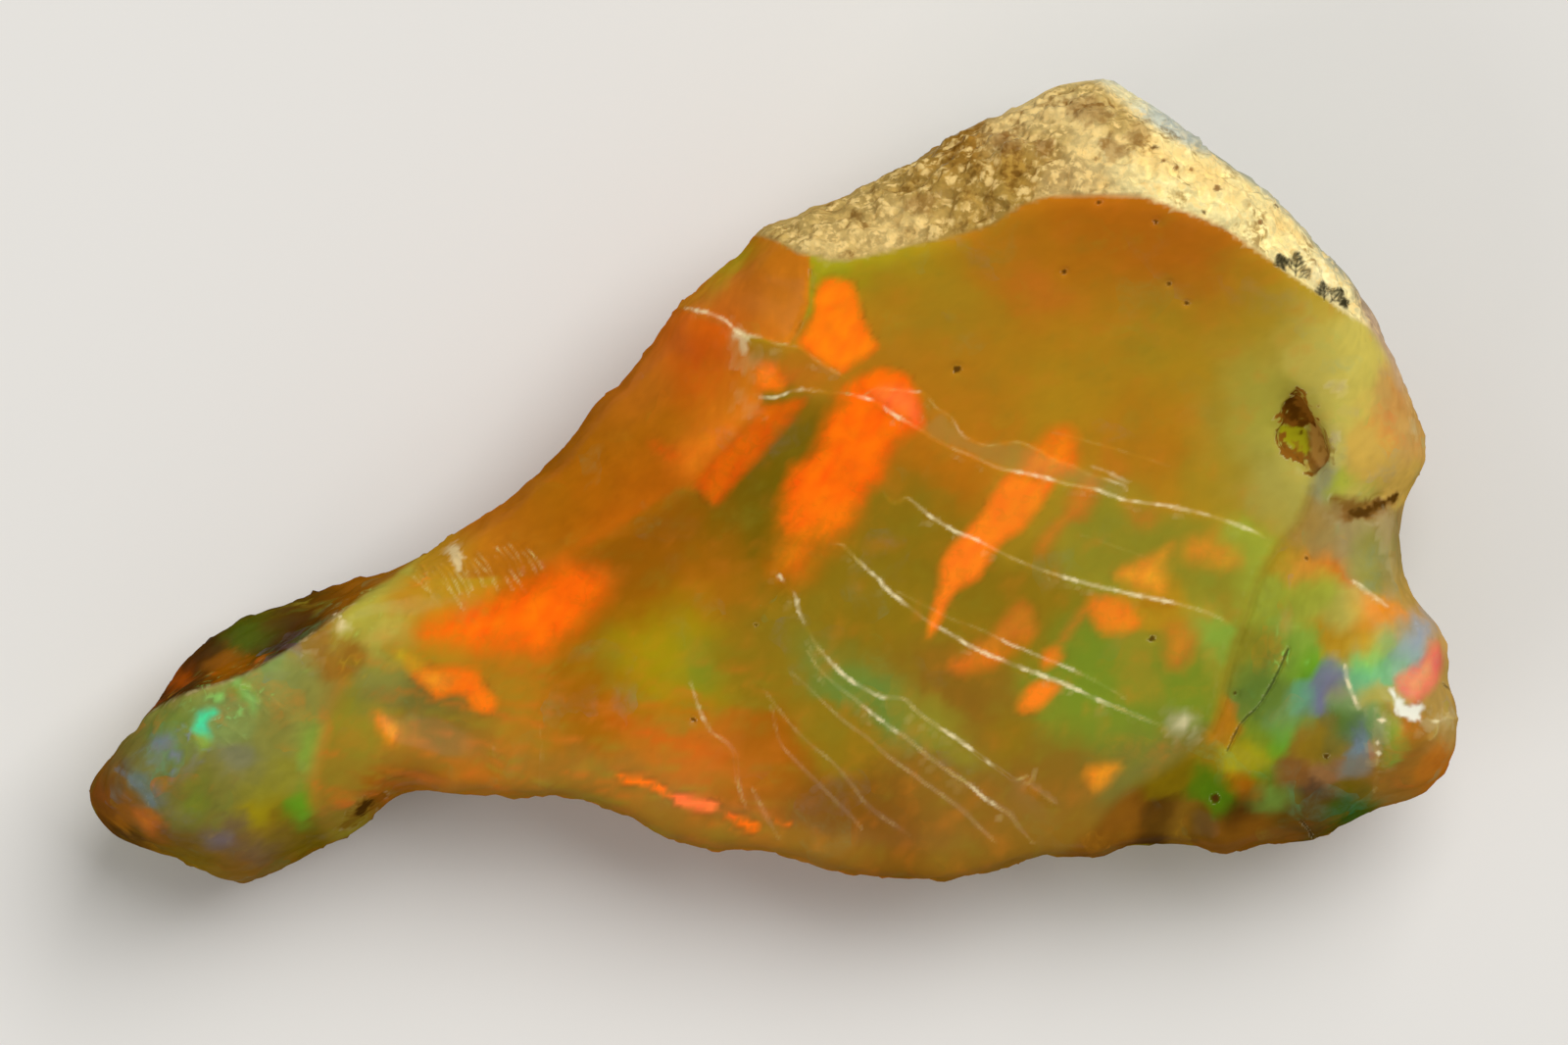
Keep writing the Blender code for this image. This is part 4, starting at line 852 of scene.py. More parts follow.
STAINS = (
    Stain("floor_green", 0.85, 0.04, 0.08, (
        (12.9, 1.4), (13.2, 1.45), (13.55, 1.4), (13.68, 1.1), (13.7, 0.8), (13.45, 0.65),
        (13.2, 0.9), (12.95, 1.1),
    )),
    Stain("pit_tan", 0.85, 0.05, 0.12, (
        (13.75, 1.7), (13.95, 1.35), (14.15, 0.85), (14.18, 0.55), (13.95, 0.35),
        (13.72, 0.5), (13.7, 0.95), (13.65, 1.35),
    )),
    Stain("pit_brown", 0.95, 0.04, 0.3, (
        (13.3, 2.42), (13.5, 2.15), (13.65, 1.95), (13.8, 1.6), (13.65, 1.38), (13.3, 1.42),
        (13.0, 1.42), (12.9, 1.7), (13.05, 2.0), (13.2, 2.1),
    )),
    Stain("dark_brown", 0.5, 0.06, 0.6, (
        (13.25, 2.1), (13.45, 1.95), (13.7, 1.6), (13.5, 1.45), (13.15, 1.5), (13.05, 1.8),
    )),
    Stain("cinnamon", 0.7, 0.05, 0.3, ((13.35, 2.3), (13.7, 1.95), (13.8, 1.6), (13.5, 1.7))),
    Stain("cinnamon", 0.6, 0.04, 0.5, ((12.95, 1.75), (13.3, 1.5), (13.2, 1.4), (12.95, 1.5))),
    Stain("pit_brown", 0.9, 0.04, 0.26, (
        (12.9, 1.4), (12.8, 1.15), (13.05, 1.1), (13.25, 0.85), (13.5, 0.65), (13.68, 0.4),
        (13.78, 0.1), (13.65, 0.15), (13.5, 0.4), (13.2, 0.55), (12.95, 0.7),
    )),
    Stain("pit_brown", 0.75, 0.05, 0.1, (
        (13.65, 0.8), (13.8, 0.6), (13.95, 0.35), (13.78, 0.12), (13.65, 0.4),
    )),
    Stain("pit_brown", 0.5, 0.04, 0.1, ((13.6, 1.5), (13.72, 1.4), (13.75, 0.8), (13.66, 0.8))),
    Stain("cocoa", 0.5, 0.05, 0.3, (
        (14.05, 1.3), (14.22, 0.9), (14.25, 0.5), (14.0, 0.2), (14.1, 0.6), (14.0, 1.0),
    )),
    Stain("cinnamon", 0.6, 0.04, 0.5, ((12.9, 1.2), (13.2, 0.95), (13.5, 0.55), (13.1, 0.65))),
    Stain("nut_brown", 0.6, 0.15, 0.25, (
        (14.3, -0.35), (14.9, -0.4), (15.3, -0.45), (15.95, -0.3), (15.5, -0.8),
        (15.0, -0.95), (14.4, -0.9),
    )),
    Stain("cocoa", 0.6, 0.08, 0.2, (
        (14.2, -0.4), (14.6, -0.45), (15.0, -0.5), (15.5, -0.4), (16.0, -0.3), (15.6, -0.7),
        (15.1, -0.95), (14.6, -1.0), (14.5, -0.7),
    )),
    Stain("dark_brown", 0.85, 0.06, 0.16, (
        (14.6, -0.75), (14.95, -0.7), (15.3, -0.55), (15.95, -0.3), (15.9, -0.42),
        (15.4, -0.7), (15.1, -0.85), (14.8, -0.95),
    )),
    Stain("haze", 0.3, 0.1, 0.1, (
        (3.9, 1.4), (4.3, 1.75), (4.6, 1.4), (5.1, 1.0), (5.9, 0.95), (6.3, 0.95), (6.9, 0.7),
        (7.6, 0.4), (8.4, 0.1), (8.9, -0.1), (8.9, -0.4), (8.3, -0.2), (7.5, -0.02),
        (6.9, 0.15), (6.0, 0.35), (5.0, 0.75), (4.2, 1.1),
    )),
    Stain("cocoa", 0.6, 0.08, 0.2, (
        (-11.0, -8.8), (-10.7, -8.35), (-10.3, -8.05), (-9.9, -7.95), (-9.9, -8.15),
        (-10.4, -8.5), (-10.8, -8.9),
    )),
    Stain("dark_brown", 0.9, 0.05, 0.12, (
        (-10.7, -8.5), (-10.5, -8.25), (-10.2, -8.1), (-10.25, -8.3), (-10.5, -8.5),
    )),
    Stain("bone_grey", 0.55, 0.2, 0.35, (
        (10.15, -5.95), (10.45, -5.85), (10.85, -6.0), (10.75, -6.4), (10.5, -6.55),
        (10.2, -6.35),
    )),
    Stain("frost_glint", 0.5, 0.12, 0.3, (
        (10.35, -6.05), (10.55, -5.98), (10.7, -6.12), (10.6, -6.3), (10.4, -6.28),
    )),
    # Painted highlights on chips at the corner.
    Stain("frost_glint", 0.55, 0.06, 0.25, ((-0.95, 3.85), (-0.7, 3.75), (-0.6, 3.5), (-0.8, 3.45))),
    Stain("frost_glint", 0.6, 0.04, 0.1, ((-0.8, 3.35), (-0.6, 3.35), (-0.65, 3.2), (-0.8, 3.2))),
    Stain("sand", 0.3, 0.15, 0.45, (
        (-1.1, 4.0), (-0.75, 3.8), (-0.5, 3.4), (-0.35, 3.0), (-0.7, 2.75), (-0.95, 3.0),
    )),
    Stain("sand", 0.2, 0.15, 0.4, ((-0.95, 2.35), (-0.7, 2.2), (-0.4, 1.9), (-0.6, 1.6))),
    # A painted highlight on a chip by the left end of the bevel's ridge.
    Stain("frost_glint", 0.55, 0.1, 0.3, ((-8.25, -1.7), (-8.0, -1.65), (-7.8, -2.1), (-8.0, -2.15))),
    Stain("haze", 0.6, 0.1, 0.3, ((-11.8, -4.3), (-11.6, -4.35), (-11.6, -4.75), (-11.85, -4.7))),
    # A painted highlight on a chip of the tail's ridge.
    Stain("frost_glint", 0.5, 0.05, 0.3, ((-11.0, -3.4), (-10.85, -3.5), (-10.75, -3.9), (-10.9, -3.75))),
    # Pale edges by the notch, on the shoulder and on the knob, painted as highlights where they
    # catch the light.
    Stain("bone", 0.3, 0.1, 0.3, (
        (15.4, -0.9), (15.8, -0.95), (15.8, -1.9), (15.95, -2.6), (15.7, -2.2),
    )),
    Stain("bone", 0.6, 0.06, 0.15, ((14.1, 2.5), (14.45, 2.5), (14.5, 2.3), (14.2, 2.25))),
    Stain("bone", 0.6, 0.06, 0.15, ((14.2, 1.35), (14.4, 1.2), (14.35, 0.9), (14.2, 1.0))),
    Stain("bone", 0.6, 0.06, 0.15, ((16.3, 1.6), (16.5, 1.4), (16.45, 1.2), (16.3, 1.3))),
    Stain("bone", 0.35, 0.12, 0.4, (
        (15.2, -5.9), (15.5, -5.9), (15.58, -6.5), (15.5, -7.2), (15.3, -7.2), (15.28, -6.5),
    )),
    Stain("bone", 0.4, 0.1, 0.35, (
        (16.5, -6.05), (16.9, -5.95), (17.35, -5.9), (17.4, -6.15), (16.95, -6.3), (16.6, -6.25),
    )),
    # The white glint on the top of the knob, painted as a highlight.
    Stain("milk", 0.9, 0.08, 0.15, (
        (15.72, -5.25), (15.85, -5.4), (16.1, -5.7), (16.5, -5.65), (16.45, -6.05),
        (16.1, -6.0), (15.85, -5.8),
    )),
    # Small painted glints on the knob.
    Stain("frost_glint", 1.0, 0.03, 0.0, (
        (15.36, -6.04), (15.5, -5.99), (15.62, -6.06), (15.48, -6.13),
    )),
    Stain("frost_glint", 1.0, 0.03, 0.0, (
        (15.33, -6.62), (15.4, -6.56), (15.44, -6.64), (15.38, -6.7),
    )),
    Stain("frost_glint", 1.0, 0.03, 0.0, (
        (15.34, -6.88), (15.42, -6.82), (15.5, -6.9), (15.42, -6.98),
    )),
    Stain("dark_brown", 0.8, 0.04, 0.0, (
        (11.2, -7.98), (11.32, -7.94), (11.41, -8.04), (11.38, -8.15), (11.25, -8.17),
        (11.17, -8.08),
    )),
    Stain("rust", 0.6, 0.08, 0.25, ((5.7, 8.85), (6.3, 8.6), (6.1, 8.3), (5.6, 8.5))),
    Stain("rust", 0.6, 0.08, 0.25, ((6.7, 8.7), (7.1, 8.6), (6.9, 8.2), (6.6, 8.4))),
    Stain("rust", 0.5, 0.1, 0.3, ((7.4, 9.6), (8.2, 9.7), (8.5, 9.2), (7.7, 9.1))),
    Stain("nut_brown", 0.6, 0.1, 0.3, ((8.3, 8.7), (8.9, 8.5), (8.9, 8.1), (8.4, 8.2))),
    Stain("nut_brown", 0.5, 0.1, 0.3, ((3.4, 7.2), (4.1, 7.3), (4.0, 6.8), (3.5, 6.8))),
    Stain("nut_brown", 0.45, 0.1, 0.3, ((9.2, 9.1), (9.7, 8.9), (9.4, 8.5), (9.0, 8.7))),
)  # fmt: skip


def swatch(name, use, red, green, blue):
    """A colour that the user may change, from its 0-255 display values."""
    return FloatVectorProperty(
        name=name, description=use, subtype="COLOR_GAMMA", size=3, min=0.0, max=1.0,
        default=(red / 255, green / 255, blue / 255),
    )  # fmt: skip


class OpalColours(bpy.types.PropertyGroup):
    """The colours that the opal is painted with."""

    honey: swatch("Honey", "Body of the opal in the scar", 186, 124, 22)
    amber: swatch("Amber", "Deeper body colour", 190, 110, 14)
    russet: swatch("Russet", "Reddish body colour under the rind", 184, 106, 18)
    ochre: swatch("Ochre", "Yellowish body colour", 182, 138, 26)
    khaki_gold: swatch("Khaki gold", "Dull yellow body colour", 174, 140, 30)
    copper: swatch("Copper", "Warm reddish patches", 196, 108, 26)
    citron: swatch("Citron", "Yellow-green band by the rind", 164, 154, 22)
    lime_haze: swatch("Lime haze", "Cloudy yellow-green at the right of the scar", 172, 162, 60)
    straw: swatch("Straw", "Pale cloudy yellow", 178, 166, 76)
    olive: swatch("Olive", "Shadowed green-brown of the scar", 142, 114, 18)
    moss: swatch("Moss", "Dull green fire", 146, 138, 36)
    moss_gold: swatch("Moss gold", "Yellow-green fire", 164, 144, 10)
    leaf: swatch("Leaf", "Green fire of the lower scar", 118, 138, 34)
    lime: swatch("Lime", "Bright yellow-green fire", 160, 168, 52)
    bark: swatch("Bark", "Dark gap between the flames", 118, 96, 4)
    chestnut: swatch("Chestnut", "Reddish brown", 158, 94, 4)
    sienna: swatch("Sienna", "Orange-brown of the bevel", 184, 92, 6)
    sienna_gold: swatch("Sienna gold", "Yellower brown of the bevel", 160, 92, 4)
    bark_gold: swatch("Bark gold", "Gold-brown of the belly", 152, 106, 30)
    deep_olive: swatch("Deep olive", "Upper edge of the lobe behind the tail", 92, 66, 4)
    buff: swatch("Buff", "Soft orange-yellow of the shoulder", 202, 164, 72)
    oat: swatch("Oat", "Pale thin rind", 190, 160, 92)
    primrose: swatch("Primrose", "Pale yellow of the shoulder", 200, 182, 82)
    pine: swatch("Pine", "Darkest green of the knob", 56, 88, 4)
    shadow: swatch("Shadow", "Darkest brown-violet of the knob", 78, 58, 38)
    slate_blue: swatch("Slate blue", "Dark blue-grey streak of the tail", 90, 110, 112)
    teal: swatch("Teal", "Blue-green fire of the knob", 106, 174, 122)
    violet: swatch("Violet", "Blue-violet streaks of the tail and knob", 112, 108, 142)
    salmon: swatch("Salmon", "Pale heart of the pink fire", 222, 150, 96)
    haze: swatch("Haze", "Thin film between two ledges", 156, 146, 78)
    floor_green: swatch("Pit floor", "Yellow-green floor of the open pit", 172, 168, 8)
    pit_tan: swatch("Pit tan", "Tan wall of the open pit", 180, 128, 60)
    dark_brown: swatch("Dark brown", "Broken lobe and pit walls", 68, 40, 2)
    cocoa: swatch("Cocoa", "Brown of thin edges", 124, 78, 12)
    cocoa_gold: swatch("Cocoa gold", "Brown-gold of the lower scar", 138, 98, 24)
    sand_gold: swatch("Sand gold", "Pale thin edges", 166, 128, 52)
    slate_green: swatch("Slate green", "Grey-green hollow of the neck", 116, 108, 44)
    tarnish: swatch("Tarnish", "Face of the tail", 142, 138, 60)
    orange_tan: swatch("Orange tan", "Warm patches on the knob", 204, 122, 40)
    flame_brown: swatch("Flame brown", "Burnt orange at the corner", 192, 88, 4)
    peach: swatch("Peach", "Pink-tan shoulder", 194, 150, 78)
    pewter_gold: swatch("Pewter gold", "Greyish top of the knob's foot", 150, 148, 104)
    driftwood: swatch("Driftwood", "Frosted tan of the knob", 150, 126, 74)
    # Bone is a painted highlight on pale edges that catch the light.
    bone: swatch("Bone", "Frosted pale edges", 190, 172, 122)
    bone_grey: swatch("Bone grey", "Bruised percussion mark", 178, 174, 128)
    apricot: swatch("Apricot", "Soft orange on the knob", 216, 150, 52)
    jade: swatch("Jade", "Bright green fire", 134, 204, 100)
    mist: swatch("Mist", "Blue-grey fire", 146, 156, 166)
    meadow: swatch("Meadow", "Green of the knob", 136, 168, 58)
    grass: swatch("Grass", "Green glint of the tail", 100, 156, 28)
    forest: swatch("Forest", "Shadowed green of the knob", 104, 130, 48)
    sage: swatch("Sage", "Greyish green", 118, 150, 84)
    steel: swatch("Steel", "Blue-grey of the knob and tail", 112, 130, 140)
    pewter: swatch("Pewter", "Plain grey on the tail", 126, 126, 112)
    mauve_brown: swatch("Mauve brown", "Violet-brown under the tail", 116, 92, 62)
    mustard: swatch("Mustard", "Yellow of the knob's lower side", 164, 152, 20)
    umber: swatch("Umber", "Brown-violet of the knob", 146, 104, 60)
    bottle_green: swatch("Bottle green", "Dark green", 76, 108, 8)
    cinnamon: swatch("Cinnamon", "Amber brown", 158, 102, 30)
    tan: swatch("Tan", "Thin rind", 172, 138, 66)
    sand: swatch("Sand", "Grainy rind", 198, 168, 106)
    nut_brown: swatch("Nut brown", "Stained rind", 146, 106, 52)
    cream: swatch("Cream", "Chalky rind", 220, 192, 126)
    kernel: swatch("Kernel", "Pale grains in the rind", 240, 208, 136)
    ivory: swatch("Ivory", "Brightest rind", 250, 232, 164)
    peach_cream: swatch("Peach cream", "Stained bright rind", 242, 198, 112)
    skin_grey: swatch("Skin grey", "Weathered skin of the nodule", 158, 158, 138)
    skin_white: swatch("Skin white", "Palest skin of the nodule", 192, 198, 186)
    rose_grey: swatch("Rose grey", "Pinkish skin by the shoulder", 190, 160, 130)
    flame: swatch("Flame", "Brightest fire", 255, 122, 12)
    flame_pink: swatch("Flame pink", "Fire with a pink cast", 255, 112, 50)
    deep_flame: swatch("Deep flame", "Darker fire under the bevel", 216, 92, 4)
    flame_red: swatch("Flame red", "Redder fire of the large flames", 253, 106, 6)
    blaze: swatch("Blaze", "Yellowish fire", 246, 116, 14)
    tangerine: swatch("Tangerine", "Fire of the middle scar", 246, 120, 24)
    tangerine_gold: swatch("Tangerine gold", "Golden fire", 226, 134, 26)
    apricot_fire: swatch("Apricot fire", "Golden orange fire", 232, 142, 36)
    rust_glow: swatch("Rust glow", "Dim orange fire", 206, 112, 30)
    ember: swatch("Ember", "Red glow in the bevel", 214, 84, 8)
    marigold: swatch("Marigold", "Yellow fire", 200, 150, 30)
    rose: swatch("Rose", "Pink-red fire", 218, 104, 84)
    aqua: swatch("Aqua", "Blue-green fire of the tail", 64, 210, 150)
    # Milk is a painted highlight: the white glint on the knob.
    milk: swatch("Milk", "Fresh white chip on the knob", 240, 240, 222)
    frost_glint: swatch("Frost", "Light caught on broken ledges", 238, 224, 176)
    straw_light: swatch("Straw light", "Dimmer light on ledges", 198, 176, 100)
    speck: swatch("Speck", "Dark grains held in the opal", 74, 44, 10)
    soot: swatch("Soot", "Ferns, hairline cracks and specks", 52, 48, 30)
    rust: swatch("Rust", "Brown stains on the rind", 126, 82, 34)
    pit_brown: swatch("Pit brown", "Ragged rust in the pits", 118, 66, 6)


class OpalSizes(bpy.types.PropertyGroup):
    """Sizes and strengths of the stone's finish."""

    grid: FloatProperty(
        name="Working grid", description="Spacing of the stone's mesh away from fine detail",
        default=0.00018, min=0.0001, max=0.0005, unit="LENGTH", precision=5,
    )  # fmt: skip
    ledges: FloatProperty(
        name="Ledge height", description="Height of the steps, as a share of their own height",
        default=0.5, min=0.0, max=3.0, subtype="FACTOR",
    )  # fmt: skip
    grain: FloatProperty(
        name="Rind grain", description="Height of the grain on the rind",
        default=0.00021, min=0.0, max=0.0004, unit="LENGTH", precision=5,
    )  # fmt: skip
    chips: FloatProperty(
        name="Edge chips", description="Depth of the small chips along broken edges",
        default=0.00009, min=0.0, max=0.0004, unit="LENGTH", precision=5,
    )  # fmt: skip
    # The fire's glow is painted light: an emission that makes the flashes brighter than the lamps
    # alone light them.
    glow: FloatProperty(
        name="Fire glow", description="How far the fire outshines the body of the opal",
        default=0.22, min=0.0, max=2.0,
    )  # fmt: skip
    depth: FloatProperty(
        name="Milkiness", description="Share of the light that spreads under the surface",
        default=0.3, min=0.0, max=1.0, subtype="FACTOR",
    )  # fmt: skip
    reach: FloatProperty(
        name="Light reach", description="How far light travels inside the opal",
        default=0.0006, min=0.0, max=0.01, unit="LENGTH", precision=5,
    )  # fmt: skip


class StageSettings(bpy.types.PropertyGroup):
    """The plain studio round the stone."""

    floor: swatch("Floor", "Colour of the plain floor", 226, 224, 220)
    key: FloatProperty(
        name="Key light", description="Power of the soft main light", default=10.8, min=0.0,
        unit="POWER",
    )  # fmt: skip
    fill: FloatProperty(
        name="Fill light", description="Power of the soft light from the other side",
        default=2.2, min=0.0, unit="POWER",
    )  # fmt: skip
    sky: FloatProperty(
        name="Sky", description="Strength of the even light from all round", default=0.42,
        min=0.0, max=2.0,
    )  # fmt: skip
    lens: FloatProperty(
        name="Focal length", description="Focal length of the camera, in millimetres",
        default=400.0, min=50.0, max=1000.0, unit="CAMERA",
    )  # fmt: skip


def smooth_curve(points, closed, step):
    """Places about step apart on a Catmull-Rom curve through the given points."""
    knots = np.array(points, float)
    count = len(knots)
    found = []
    for i in range(count if closed else count - 1):
        if closed:
            a, b, c, d = (knots[(i + k) % count] for k in (-1, 0, 1, 2))
        else:
            b, c = knots[i], knots[i + 1]
            a = knots[i - 1] if i else 2 * b - c
            d = knots[i + 2] if i + 2 < count else 2 * c - b
        pieces = max(1, round(float(np.linalg.norm(c - b)) / step))
        for t in np.arange(pieces) / pieces:
            bend = (2 * a - 5 * b + 4 * c - d) * t * t + (3 * b - a - 3 * c + d) * t**3
            found.append(0.5 * (2 * b + (c - a) * t + bend))
    if not closed:
        found.append(knots[-1])
    return np.array(found)


def ease(low, high, value):
    """0 before low and 1 past high, with an S-shaped rise between them."""
    t = np.clip((value - low) / (high - low), 0, 1)
    return t * t * (3 - 2 * t)


class Line:
    """A smooth line over the plan, which may be closed into a border."""

    def __init__(self, points, closed=False, step=0.12):
        self.points = smooth_curve(points, closed, step)
        self.ends = np.roll(self.points, -1, axis=0) if closed else self.points[1:]
        self.starts = self.points if closed else self.points[:-1]
        self.runs = self.ends - self.starts
        self.lengths = np.maximum(np.linalg.norm(self.runs, axis=1), 1e-9)
        self.before = np.concatenate([[0], np.cumsum(self.lengths)[:-1]])

    def measure(self, places, within=np.inf):
        """The gap to each place, above 0 left of the line, and how far along it lies.

        Places that are surely further off than within are left at that gap.
        """
        low, high = self.points.min(axis=0) - within, self.points.max(axis=0) + within
        near = np.flatnonzero(((places >= low) & (places <= high)).all(axis=1))
        best = np.full(len(near), np.inf)
        side = np.ones(len(near))
        passed = np.zeros(len(near))
        for i, run in enumerate(self.runs):
            offset = places[near] - self.starts[i]
            t = np.clip(offset @ run / self.lengths[i] ** 2, 0, 1)
            gap = np.hypot(*(offset - t[:, None] * run).T)
            closer = gap < best
            best[closer] = gap[closer]
            side[closer] = np.sign(run[0] * offset[:, 1] - run[1] * offset[:, 0])[closer]
            passed[closer] = (self.before[i] + t * self.lengths[i])[closer]
        found = np.full(len(places), within)
        along = np.zeros(len(places))
        found[near] = best * side
        along[near] = passed
        return found, along

    def holds(self, places):
        """Whether a closed line has each place inside it."""
        inside = np.zeros(len(places), bool)
        for (ax, ay), (bx, by) in zip(self.starts, self.ends):
            if ay != by:
                crosses = (ay > places[:, 1]) != (by > places[:, 1])
                at = ax + (places[:, 1] - ay) * (bx - ax) / (by - ay)
                inside ^= crosses & (places[:, 0] < at)
        return inside

    def depth(self, places, within=np.inf):
        """How far inside a closed line each place lies, below 0 outside it."""
        gap, _ = self.measure(places, within)
        return np.abs(gap) * np.where(self.holds(places), 1, -1)


def turned(places, origin, heading):
    """How far ahead of the origin each place lies in this heading, and how far aside."""
    turn = math.radians(heading)
    x, y = (places - np.array(origin)).T
    return x * math.cos(turn) + y * math.sin(turn), y * math.cos(turn) - x * math.sin(turn)


def rough_field(places, size, seed):
    """Smooth noise between about -1 and 1, whose lumps are size millimetres across."""
    shift = Vector((seed * 7.3, seed * 3.1, seed * 1.7))
    return np.array([noise.noise(Vector(place) / size + shift) for place in places])


def bending(places, size, seed):
    """Two smooth noises for each place, that bend the plan along X and Y."""
    return np.column_stack([rough_field(places, size, seed + k) for k in (0, 1)])


def light_value(colour):
    """A display colour as light."""
    value = np.array(colour[:], float)
    return np.where(value <= 0.04045, value / 12.92, ((value + 0.055) / 1.055) ** 2.4)


def shade_of(colours, name):
    return light_value(getattr(colours, name))


def blend_in(body, shade, share):
    """Brings the colours of the body nearer to a shade by this share."""
    body += (shade - body) * share[:, None]


class Layer:
    """Colours laid over one another on many places, and how well they cover each."""

    def __init__(self, shade, count):
        self.shade = np.tile(np.array(shade, float), (count, 1))
        self.cover = np.zeros(count)

    def lay(self, shade, share):
        """Lays a colour over those before it, with this share of cover."""
        self.cover = self.cover * (1 - share) + share
        blend_in(self.shade, shade, share / np.maximum(self.cover, 1e-6))


def pulled_in(places, size, seed):
    """How far each place lies from the middle of its domain, over the plan.

    The domains are about size millimetres across, and meet at soft borders.
    """
    shift = Vector((seed * 5.9, seed * 2.3, seed * 4.1))
    found = np.empty((len(places), 2))
    for i, place in enumerate(places):
        here = Vector(place) / size + shift
        gaps, middles = noise.voronoi(here)
        border = min(1.0, (gaps[1] - gaps[0]) / 0.2)
        found[i] = (middles[0] - here)[:2]
        found[i] *= size * border
    return found


def far_from(places, patch):
    """How far each place is from a patch: 1 at its reach."""
    ahead, aside = turned(places, patch.centre, patch.turn)
    return (ahead / (patch.reach * patch.stretch)) ** 2 + (aside / patch.reach) ** 2


def blend_patches(places, patches, colours):
    """The colour at each place, blended from the patches round it."""
    total = np.zeros((len(places), 3))
    weights = np.zeros(len(places))
    for patch in patches:
        far = far_from(places, patch)
        # A soft bell, and a faint long tail that fills the gaps between patches.
        weight = np.exp(-0.9 * far) + 1e-3 / (1 + far) ** 2
        total += weight[:, None] * shade_of(colours, patch.colour)
        weights += weight
    return total / weights[:, None]


def read_points(mesh):
    """The mesh's points in millimetres, and which way its surface faces at each."""
    found = []
    for name in ("co", "normal"):
        values = np.empty(len(mesh.vertices) * 3)
        mesh.vertices.foreach_get(name, values)
        found.append(values.reshape(-1, 3))
    return found[0] / MM, found[1]


def move_points(mesh, places):
    mesh.vertices.foreach_set("co", (places * MM).ravel())
    mesh.update()


def keep_values(mesh, name, values):
    """Keeps one number for each point of the mesh under this name."""
    layer = mesh.attributes.new(name, "FLOAT", "POINT")
    layer.data.foreach_set("value", values.astype(np.float32))


def keep_colours(mesh, name, colours, cover):
    """Keeps a colour and its cover for each point of the mesh under this name."""
    layer = mesh.attributes.new(name, "FLOAT_COLOR", "POINT")
    layer.data.foreach_set("color", np.column_stack([colours, cover]).astype(np.float32).ravel())


def apply_modifiers(piece):
    """Makes the modifiers' result the piece's own mesh."""
    graph = bpy.context.evaluated_depsgraph_get()
    made = bpy.data.meshes.new_from_object(piece.evaluated_get(graph))
    piece.modifiers.clear()
    piece.data = made


def add_smoothing(piece, rounds, group=""):
    """Smooths the piece so many times, in one group of its points if that is named."""
    smooth = piece.modifiers.new("Smooth", "SMOOTH")
    smooth.factor = 0.5
    smooth.iterations = rounds
    smooth.vertex_group = group


def on_front(facing):
    """1 where the surface looks up, easing to 0 on the sides."""
    return ease(0.02, 0.3, facing[:, 2])


def fine_stone(grid):
    """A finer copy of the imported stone, with its facets smoothed, most of all in the scar."""
    piece = bpy.data.objects.new("opal_stone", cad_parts[CAD_NODE].data.copy())
    bpy.context.scene.collection.objects.link(piece)
    shape = bmesh.new()
    shape.from_mesh(piece.data)
    bmesh.ops.remove_doubles(shape, verts=shape.verts, dist=1e-7)
    shape.to_mesh(piece.data)
    shape.free()
    remesh = piece.modifiers.new("Fine grid", "REMESH")
    remesh.mode = "VOXEL"
    remesh.voxel_size = grid
    apply_modifiers(piece)
    calm = piece.vertex_groups.new(name="calm")
    places, facing = read_points(piece.data)
    quiet = scar_share(places[:, :2], facing)
    for index in np.flatnonzero(quiet > 0.02):
        calm.add([int(index)], float(quiet[index]), "REPLACE")
    add_smoothing(piece, 5)
    add_smoothing(piece, 60, "calm")
    apply_modifiers(piece)
    piece.vertex_groups.clear()
    return piece


def scar_share(plan, facing):
    """1 well inside the scar, easing to 0 at its folds and edges."""
    return ease(0.0, 0.9, Line(SCAR_BORDER, True, BORDER_STEP).depth(plan, 1.0)) * on_front(facing)


def fern_strokes(fern):
    """The stem of a fern and its paired twigs, as short lines."""
    heading = math.radians(fern.heading)
    along = np.array([math.cos(heading), math.sin(heading)])
    foot = np.array(fern.foot)
    strokes = [(tuple(foot), tuple(foot + along * fern.length))]
    for share in (0.15, 0.4, 0.65, 0.9):
        for side in (-50, 50):
            lean = heading + math.radians(side)
            reach = fern.twig * (1.15 - share)
            start = foot + along * fern.length * share
            run = reach * np.array([math.cos(lean), math.sin(lean)])
            strokes.append((tuple(start), tuple(start + run)))
            middle = start + 0.55 * run
            strokes.append((tuple(middle), tuple(middle + 0.4 * reach * along)))
    return strokes


def striae_strokes(row):
    """The row's lines, each a little off the others in place and length."""
    strokes = []
    heading = math.radians(row.heading)
    for k in range(row.count):
        share = k / (row.count - 1)
        start = np.array(row.first) * (1 - share) + np.array(row.last) * share
        stray = noise.noise(Vector((k * 1.7, row.heading, 0.5)))
        lean = heading + 0.25 * stray
        reach = row.length * (0.75 + 0.5 * stray)
        run = np.array([math.cos(lean), math.sin(lean)])
        start = start + run * 0.3 * stray
        bend = start + run * reach * 0.5 + np.array([-run[1], run[0]]) * 0.06
        strokes.append((tuple(start), tuple(bend), tuple(start + run * reach)))
    return strokes


def all_traces():
    """Every line and dot on the stone, the ferns and striae among them."""
    traces = list(TRACES)
    for row in STRIAE:
        strokes = striae_strokes(row)
        traces += [ledge(row.cover, STRIA_WIDTH, row.step, points) for points in strokes]
    for fern in FERNS:
        traces += [Trace("soot", 0.8, FERN_WIDTH, 0.0, points) for points in fern_strokes(fern)]
    for colour, specks in (("speck", SPECKS), ("rust", RUST_SPECKS)):
        for (x, y), width in specks:
            dot = ((x - 0.01, y), (x + 0.01, y))
            traces.append(Trace(colour, 0.85, 1.5 * width, -SPECK_DEPTH, dot))
    return traces


